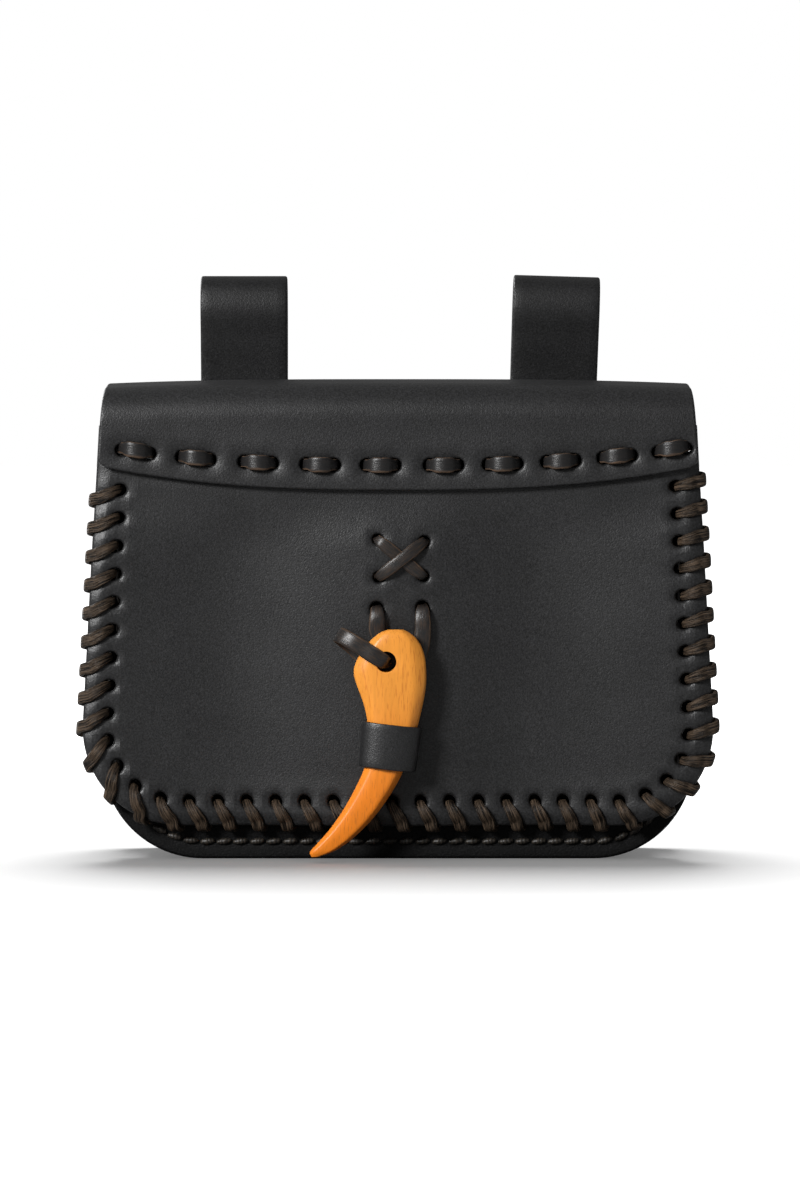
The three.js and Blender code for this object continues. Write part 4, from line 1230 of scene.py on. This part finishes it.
# The corners of its section: chamfers at both sides and a faint ridge down the front, left of the middle.
CLAW_CORNERS = (
    (1, 0.3), (0.66, 0.93), (-0.25, 1.0), (-0.7, 0.9), (-1, 0.3),
    (-1, -0.4), (-0.7, -0.95), (0, -1), (0.7, -0.95), (1, -0.4),
)


def soften(corners, share=0.22):
    """Rounds each corner of an outline with a short curve."""
    points = []
    for i, corner in enumerate(corners):
        here = Vector(corner)
        before = here.lerp(Vector(corners[i - 1]), share)
        after = here.lerp(Vector(corners[(i + 1) % len(corners)]), share)
        middle = (before + after + 2 * here) / 4
        points += [before, middle, after]
    return points


def build_claw():
    outline = soften(CLAW_CORNERS)
    rings = []
    for z, left, right, thick in smooth_rows_by_height(CLAW_SECTIONS, 5):
        middle, half = (left + right) / 2, (right - left) / 2
        rings.append([(middle + a * half, CLAW_MIDDLE - d * thick / 2, z) for a, d in outline])
    bm = loft(rings)
    claw = finish_piece("claw", bm, MATERIALS["wood"], ["claw_toggle"], sharp=CLAW_SHARP)
    bore_hole(claw, CLAW_EYE, CLAW_EYE_RADIUS, bevel=0.5)


def smooth_rows_by_height(rows, steps):
    """Rows that start with a height, made finer along smooth curves."""
    placed = [(0, 0, row[0], *row[1:]) for row in rows]
    return [row[2:] for row in smooth_rows(placed, steps)]


def bore_hole(obj, place, radius, bevel):
    """Bores a round hole from front to back and rounds its rims."""
    cutter_mesh = bpy.data.meshes.new("drill")
    bm = bmesh.new()
    turn = Matrix.Rotation(math.pi / 2, 4, "X")
    centre = Matrix.Translation(Vector((place[0], CLAW_MIDDLE, place[1])) * MM)
    bmesh.ops.create_cone(
        bm, cap_ends=True, segments=40, radius1=radius * MM, radius2=radius * MM,
        depth=DRILL_DEPTH * MM, matrix=centre @ turn,
    )
    bm.to_mesh(cutter_mesh)
    bm.free()
    cutter = bpy.data.objects.new("drill", cutter_mesh)
    put_in_scene(cutter)
    cut = obj.modifiers.new("hole", "BOOLEAN")
    cut.operation, cut.solver, cut.object = "DIFFERENCE", "EXACT", cutter
    rim = obj.modifiers.new("rim", "BEVEL")
    rim.width, rim.segments, rim.limit_method, rim.angle_limit = bevel * MM, 3, "ANGLE", math.radians(60)
    depsgraph = bpy.context.evaluated_depsgraph_get()
    made = bpy.data.meshes.new_from_object(obj.evaluated_get(depsgraph))
    obj.modifiers.clear()
    old = obj.data
    obj.data = made
    obj.data.set_sharp_from_angle(angle=CLAW_SHARP)
    bpy.data.objects.remove(cutter)
    bpy.data.meshes.remove(cutter_mesh)
    bpy.data.meshes.remove(old)


def build_ring():
    """The ring: a strap round the claw whose two ends go through the slit and lie on the pocket's front."""
    thickness, height = 1.1, 14.3
    half_top, half_bottom = 9.6, 9.1
    half = (half_top + half_bottom) / 2 - thickness / 2
    half_depth = (CLAW_HIGH.y - CLAW_LOW.y) / 2 + 0.5 + thickness / 2
    tab = POCKET_FACE - 0.25 - thickness / 2
    crest = flap_face(*RING_CENTRE)
    # Half the distance between the two ends in the slit, the angle left open there on each side, and the
    # power that makes the ring slightly square.
    tail = 0.95
    gap = 0.45
    power = 2 / 2.15
    ends = [
        (tail + 8, tab), (tail + 3.5, tab), (tail + 1.3, tab - 0.15), (tail + 0.25, tab - 1.0),
        (tail, tab - 2.4), (tail, crest - 0.1), (tail + 0.8, crest - 0.9),
    ]
    line = list(ends)
    for i in range(41):
        angle = math.pi / 2 - blend(gap, 2 * math.pi - gap, i / 40)
        cos, sin = math.cos(angle), math.sin(angle)
        line.append((
            half * math.copysign(abs(cos) ** power, cos),
            CLAW_MIDDLE + half_depth * math.copysign(abs(sin) ** power, sin),
        ))
    line += [(-x, y) for x, y in reversed(ends)]
    stations = []
    for i, (x, y) in enumerate(line):
        before, after = line[max(i - 1, 0)], line[min(i + 1, len(line) - 1)]
        stations.append((x, y, 0, after[1] - before[1], before[0] - after[0], 0, height, thickness))
    stations = smooth_rows(stations, 2)
    bm = strip(stations, flat_section(height, thickness, 0.4, steps=3, across=8))
    for vert in bm.verts:
        vert.co.x *= 1 + vert.co.z / height * (half_top - half_bottom) / half
    turn = Matrix.Rotation(math.radians(RING_TILT), 4, "Y")
    shift = Matrix.Translation((RING_CENTRE[0], 0, RING_CENTRE[1]))
    bmesh.ops.transform(bm, matrix=shift @ turn, verts=bm.verts)
    finish_piece("claw_ring", bm, MATERIALS["ring"], ["toggle_ring"])


# ---------------------------------------------------------------- sewing thread

# The stitches across a belt loop's sewn ends: heights of the rows, then pitch, length and thickness.
LOOP_SEAM_HEIGHTS = (101.1, 111.1)
LOOP_STITCH = {"pitch": 4.8, "length": 4.0, "thick": 1.3}


def add_stitch(bm, centre, way, out, length_mm, thick):
    """One sewn stitch: a plump bead of thread that sinks in at both ends."""
    side = way.cross(out)
    slant = Matrix.Rotation(STITCH_SLANT, 4, out)
    turn = slant @ Matrix((way, side, out)).transposed().to_4x4()
    scale = Matrix.Diagonal((length_mm / 2, thick / 2, thick / 2, 1))
    matrix = Matrix.Translation(centre) @ turn @ scale
    bmesh.ops.create_uvsphere(bm, u_segments=10, v_segments=8, radius=1, matrix=matrix)


def build_seams():
    """Thread along the pouch's two seams, front and back, and across the belt loops' sewn ends."""
    bm = bmesh.new()
    thick = size("thread")
    front_seam = (POCKET_FACE, -1, POCKET_HIGH.z - MOUTH_CORNER)
    back_seam = (BACK_FACE, 1, GUSSET_HIGH.z - 4)
    for face, out, top in (front_seam, back_seam):
        for (x, z), (way_x, way_z), length_mm in seam_stitches(top):
            centre = Vector((x, face + out * thick * 0.1, z))
            add_stitch(bm, centre, Vector((way_x, 0, way_z)), Vector((0, out, 0)), length_mm * 0.97, thick)
    strap_face = BACK_FACE + LOOP_ROUTE[-1][0] + LEATHER / 2
    for _, x, lean in LOOPS:
        turn = Matrix.Rotation(math.radians(lean), 4, "Y")
        pivot = Vector((x, 0, LOOP_PIVOT))
        for height in LOOP_SEAM_HEIGHTS:
            for i in range(-2, 3):
                spot = turn @ Vector((i * LOOP_STITCH["pitch"], strap_face, height - LOOP_PIVOT))
                way = turn @ Vector((1, 0, 0))
                outward = Vector((0, 1, 0))
                add_stitch(bm, spot + pivot, way, outward, LOOP_STITCH["length"], LOOP_STITCH["thick"])
    finish_piece("sewn_seams", bm, MATERIALS["thread"])


# ---------------------------------------------------------------- stage

CAMERA_DISTANCE = 1.60
CAMERA_ELEVATION = 2.7
FRAME_HEIGHT = 0.3802
SENSOR = 36.0
AIM = (0.63, 82.85)
LIGHT_AIM = Vector((0, 0, 0.08))
LIGHT_DISTANCE = 1.8
# Each light's angle to the left and upward, its size in metres, its power, and what it reaches: all but the
# floor, or the floor alone.
LIGHTS = {
    "key_light": (40, 24, 0.45, 38, "EXCLUDE"),
    "floor_light": (176, 70, 1.0, 34, "INCLUDE"),
    "back_light": (138, 22, 0.8, 16, "EXCLUDE"),
}


def area_light(name, left, up, across, power):
    """A soft light turned to the pouch, placed by its angles left of the front and up from the floor."""
    light = bpy.data.lights.new(name, "AREA")
    light.shape = "RECTANGLE"
    light.size, light.size_y, light.energy = across, across, power
    left, up = math.radians(left), math.radians(up)
    away = Vector((-math.sin(left) * math.cos(up), -math.cos(left) * math.cos(up), math.sin(up)))
    obj = bpy.data.objects.new(name, light)
    obj.location = LIGHT_AIM + away * LIGHT_DISTANCE
    obj.rotation_euler = (-away).to_track_quat("-Z", "Y").to_euler()
    put_in_scene(obj)
    return obj


def link_light(light, floor, state):
    """Lets a light reach everything but the floor, or the floor alone."""
    reached = bpy.data.collections.new(light.name + "_reach")
    reached.objects.link(floor)
    reached.collection_objects[0].light_linking.link_state = state
    light.light_linking.receiver_collection = reached


def studio_world():
    """A white backdrop, and dim soft light from all round that is a little stronger above and at the left."""
    world = bpy.data.worlds.new("studio")
    world.use_nodes = True
    tree = world.node_tree
    soft = tree.nodes["Background"]
    way = add_node(tree, "ShaderNodeTexCoord")
    apart = add_node(tree, "ShaderNodeSeparateXYZ")
    above = value_range(tree, 0.0, 0.9, 0.09, 0.22, smooth=True)
    left = value_range(tree, -0.8, 0.8, 0.1, 0.0, smooth=True)
    both = add_node(tree, "ShaderNodeMath", operation="ADD")
    white = add_node(tree, "ShaderNodeBackground", {"Color": (1, 1, 1, 1), "Strength": 1.0})
    rays = add_node(tree, "ShaderNodeLightPath")
    chosen = add_node(tree, "ShaderNodeMixShader")
    soft.inputs["Color"].default_value = (1, 1, 1, 1)
    connect(
        tree,
        (way, "Generated", apart, 0),
        (apart, "Z", above, "Value"),
        (apart, "X", left, "Value"),
        (above, "Result", both, 0),
        (left, "Result", both, 1),
        (both, 0, soft, "Strength"),
        (rays, "Is Camera Ray", chosen, 0),
        (soft, 0, chosen, 1),
        (white, 0, chosen, 2),
        (chosen, 0, tree.nodes["World Output"], "Surface"),
    )
    return world


def build_floor():
    """A pale floor that throws little light up at the pouch. For the camera alone it glows, faintly near the
    pouch and fully far away: painted light that fades it into the backdrop.
    """
    material, tree, shader = new_material("pale_floor")
    rays = add_node(tree, "ShaderNodeLightPath")
    pale = value_range(tree, 0.0, 1.0, 0.42, 0.9)
    place = add_node(tree, "ShaderNodeTexCoord")
    away = add_node(tree, "ShaderNodeVectorMath", operation="LENGTH")
    # Painted light: a glow seen by the camera alone, weak within 0.1 m of the pouch and full beyond 0.4 m.
    camera_glow = value_range(tree, 0.1, 0.4, 0.14, 1.0, smooth=True)
    seen = times(tree)
    connect(
        tree,
        (rays, "Is Camera Ray", pale, "Value"),
        (pale, "Result", shader, "Base Color"),
        (place, "Object", away, 0),
        (away, "Value", camera_glow, "Value"),
        (camera_glow, "Result", seen, 0),
        (rays, "Is Camera Ray", seen, 1),
        (seen, 0, shader, "Emission Strength"),
    )
    shader.inputs["Emission Color"].default_value = (1, 1, 1, 1)
    shader.inputs["Roughness"].default_value = 0.9
    bm = bmesh.new()
    bmesh.ops.create_grid(bm, x_segments=1, y_segments=1, size=6)
    mesh = bpy.data.meshes.new("floor")
    bm.to_mesh(mesh)
    bm.free()
    mesh.materials.append(material)
    floor = bpy.data.objects.new("floor", mesh)
    put_in_scene(floor)
    return floor


def build_stage():
    scene = bpy.context.scene
    floor = build_floor()
    scene.world = studio_world()
    scene.view_settings.view_transform = "Standard"

    for name, (left, up, across, power, state) in LIGHTS.items():
        link_light(area_light(name, left, up, across, power), floor, state)

    camera = bpy.data.cameras.new("camera")
    camera.sensor_width = SENSOR
    camera.lens = SENSOR * CAMERA_DISTANCE / FRAME_HEIGHT
    obj = bpy.data.objects.new("camera", camera)
    target = Vector((AIM[0], FLAP_FACE, AIM[1])) * MM
    tilt = math.radians(CAMERA_ELEVATION)
    obj.location = target + Vector((0, -math.cos(tilt), math.sin(tilt))) * CAMERA_DISTANCE
    obj.rotation_euler = (target - obj.location).to_track_quat("-Z", "Y").to_euler()
    put_in_scene(obj)
    scene.camera = obj


# ---------------------------------------------------------------- operators and panel

class POUCH_OT_body(bpy.types.Operator):
    """Build the back with its band, the pocket's front and the gusset"""

    bl_idname = "pouch.body"
    bl_label = "Pouch Body"

    def execute(self, context):
        build_back_panel()
        build_pocket()
        build_gusset()
        return {"FINISHED"}


class POUCH_OT_flap(bpy.types.Operator):
    """Build the front flap"""

    bl_idname = "pouch.flap"
    bl_label = "Front Flap"

    def execute(self, context):
        build_flap()
        return {"FINISHED"}


class POUCH_OT_belt_loops(bpy.types.Operator):
    """Build the two belt loops"""

    bl_idname = "pouch.belt_loops"
    bl_label = "Belt Loops"

    def execute(self, context):
        for name, x, lean in LOOPS:
            build_belt_loop(name, x, lean)
        return {"FINISHED"}


class POUCH_OT_laces(bpy.types.Operator):
    """Build the lace round the edge, the running stitches, the cross and the tether"""

    bl_idname = "pouch.laces"
    bl_label = "Laces"

    def execute(self, context):
        build_edge_lace()
        build_running_lace()
        build_cross_lace()
        build_tether()
        return {"FINISHED"}


class POUCH_OT_toggle(bpy.types.Operator):
    """Build the wooden claw and the leather ring that holds it"""

    bl_idname = "pouch.toggle"
    bl_label = "Claw Toggle"

    def execute(self, context):
        build_claw()
        build_ring()
        return {"FINISHED"}


class POUCH_OT_seams(bpy.types.Operator):
    """Sew the seams with thread"""

    bl_idname = "pouch.seams"
    bl_label = "Sewn Seams"

    def execute(self, context):
        build_seams()
        return {"FINISHED"}


class POUCH_OT_stage(bpy.types.Operator):
    """Set up the floor, the lights and the camera"""

    bl_idname = "pouch.stage"
    bl_label = "Stage"

    def execute(self, context):
        build_stage()
        return {"FINISHED"}


OPERATORS = (
    POUCH_OT_stage, POUCH_OT_body, POUCH_OT_flap, POUCH_OT_belt_loops,
    POUCH_OT_laces, POUCH_OT_toggle, POUCH_OT_seams,
)


class POUCH_PT_panel(bpy.types.Panel):
    """Sizes, colours and pieces of the pouch"""

    bl_idname = "POUCH_PT_panel"
    bl_label = "Belt Pouch"
    bl_space_type = "VIEW_3D"
    bl_region_type = "UI"
    bl_category = "Pouch"

    def draw(self, context):
        for group in (context.scene.pouch_sizes, context.scene.pouch_colours):
            box = self.layout.box()
            for name in group.__annotations__:
                box.prop(group, name)
        for operator in OPERATORS:
            self.layout.operator(operator.bl_idname)


CLASSES = (PouchSizes, PouchColours, *OPERATORS, POUCH_PT_panel)


def register():
    for cls in CLASSES:
        bpy.utils.register_class(cls)
    bpy.types.Scene.pouch_sizes = bpy.props.PointerProperty(type=PouchSizes)
    bpy.types.Scene.pouch_colours = bpy.props.PointerProperty(type=PouchColours)


def unregister():
    del bpy.types.Scene.pouch_colours
    del bpy.types.Scene.pouch_sizes
    for cls in reversed(CLASSES):
        bpy.utils.unregister_class(cls)


def main():
    register()
    make_materials()
    bpy.ops.pouch.stage()
    bpy.ops.pouch.body()
    bpy.ops.pouch.flap()
    bpy.ops.pouch.belt_loops()
    bpy.ops.pouch.laces()
    bpy.ops.pouch.toggle()
    bpy.ops.pouch.seams()


if __name__ == "__main__":
    main()
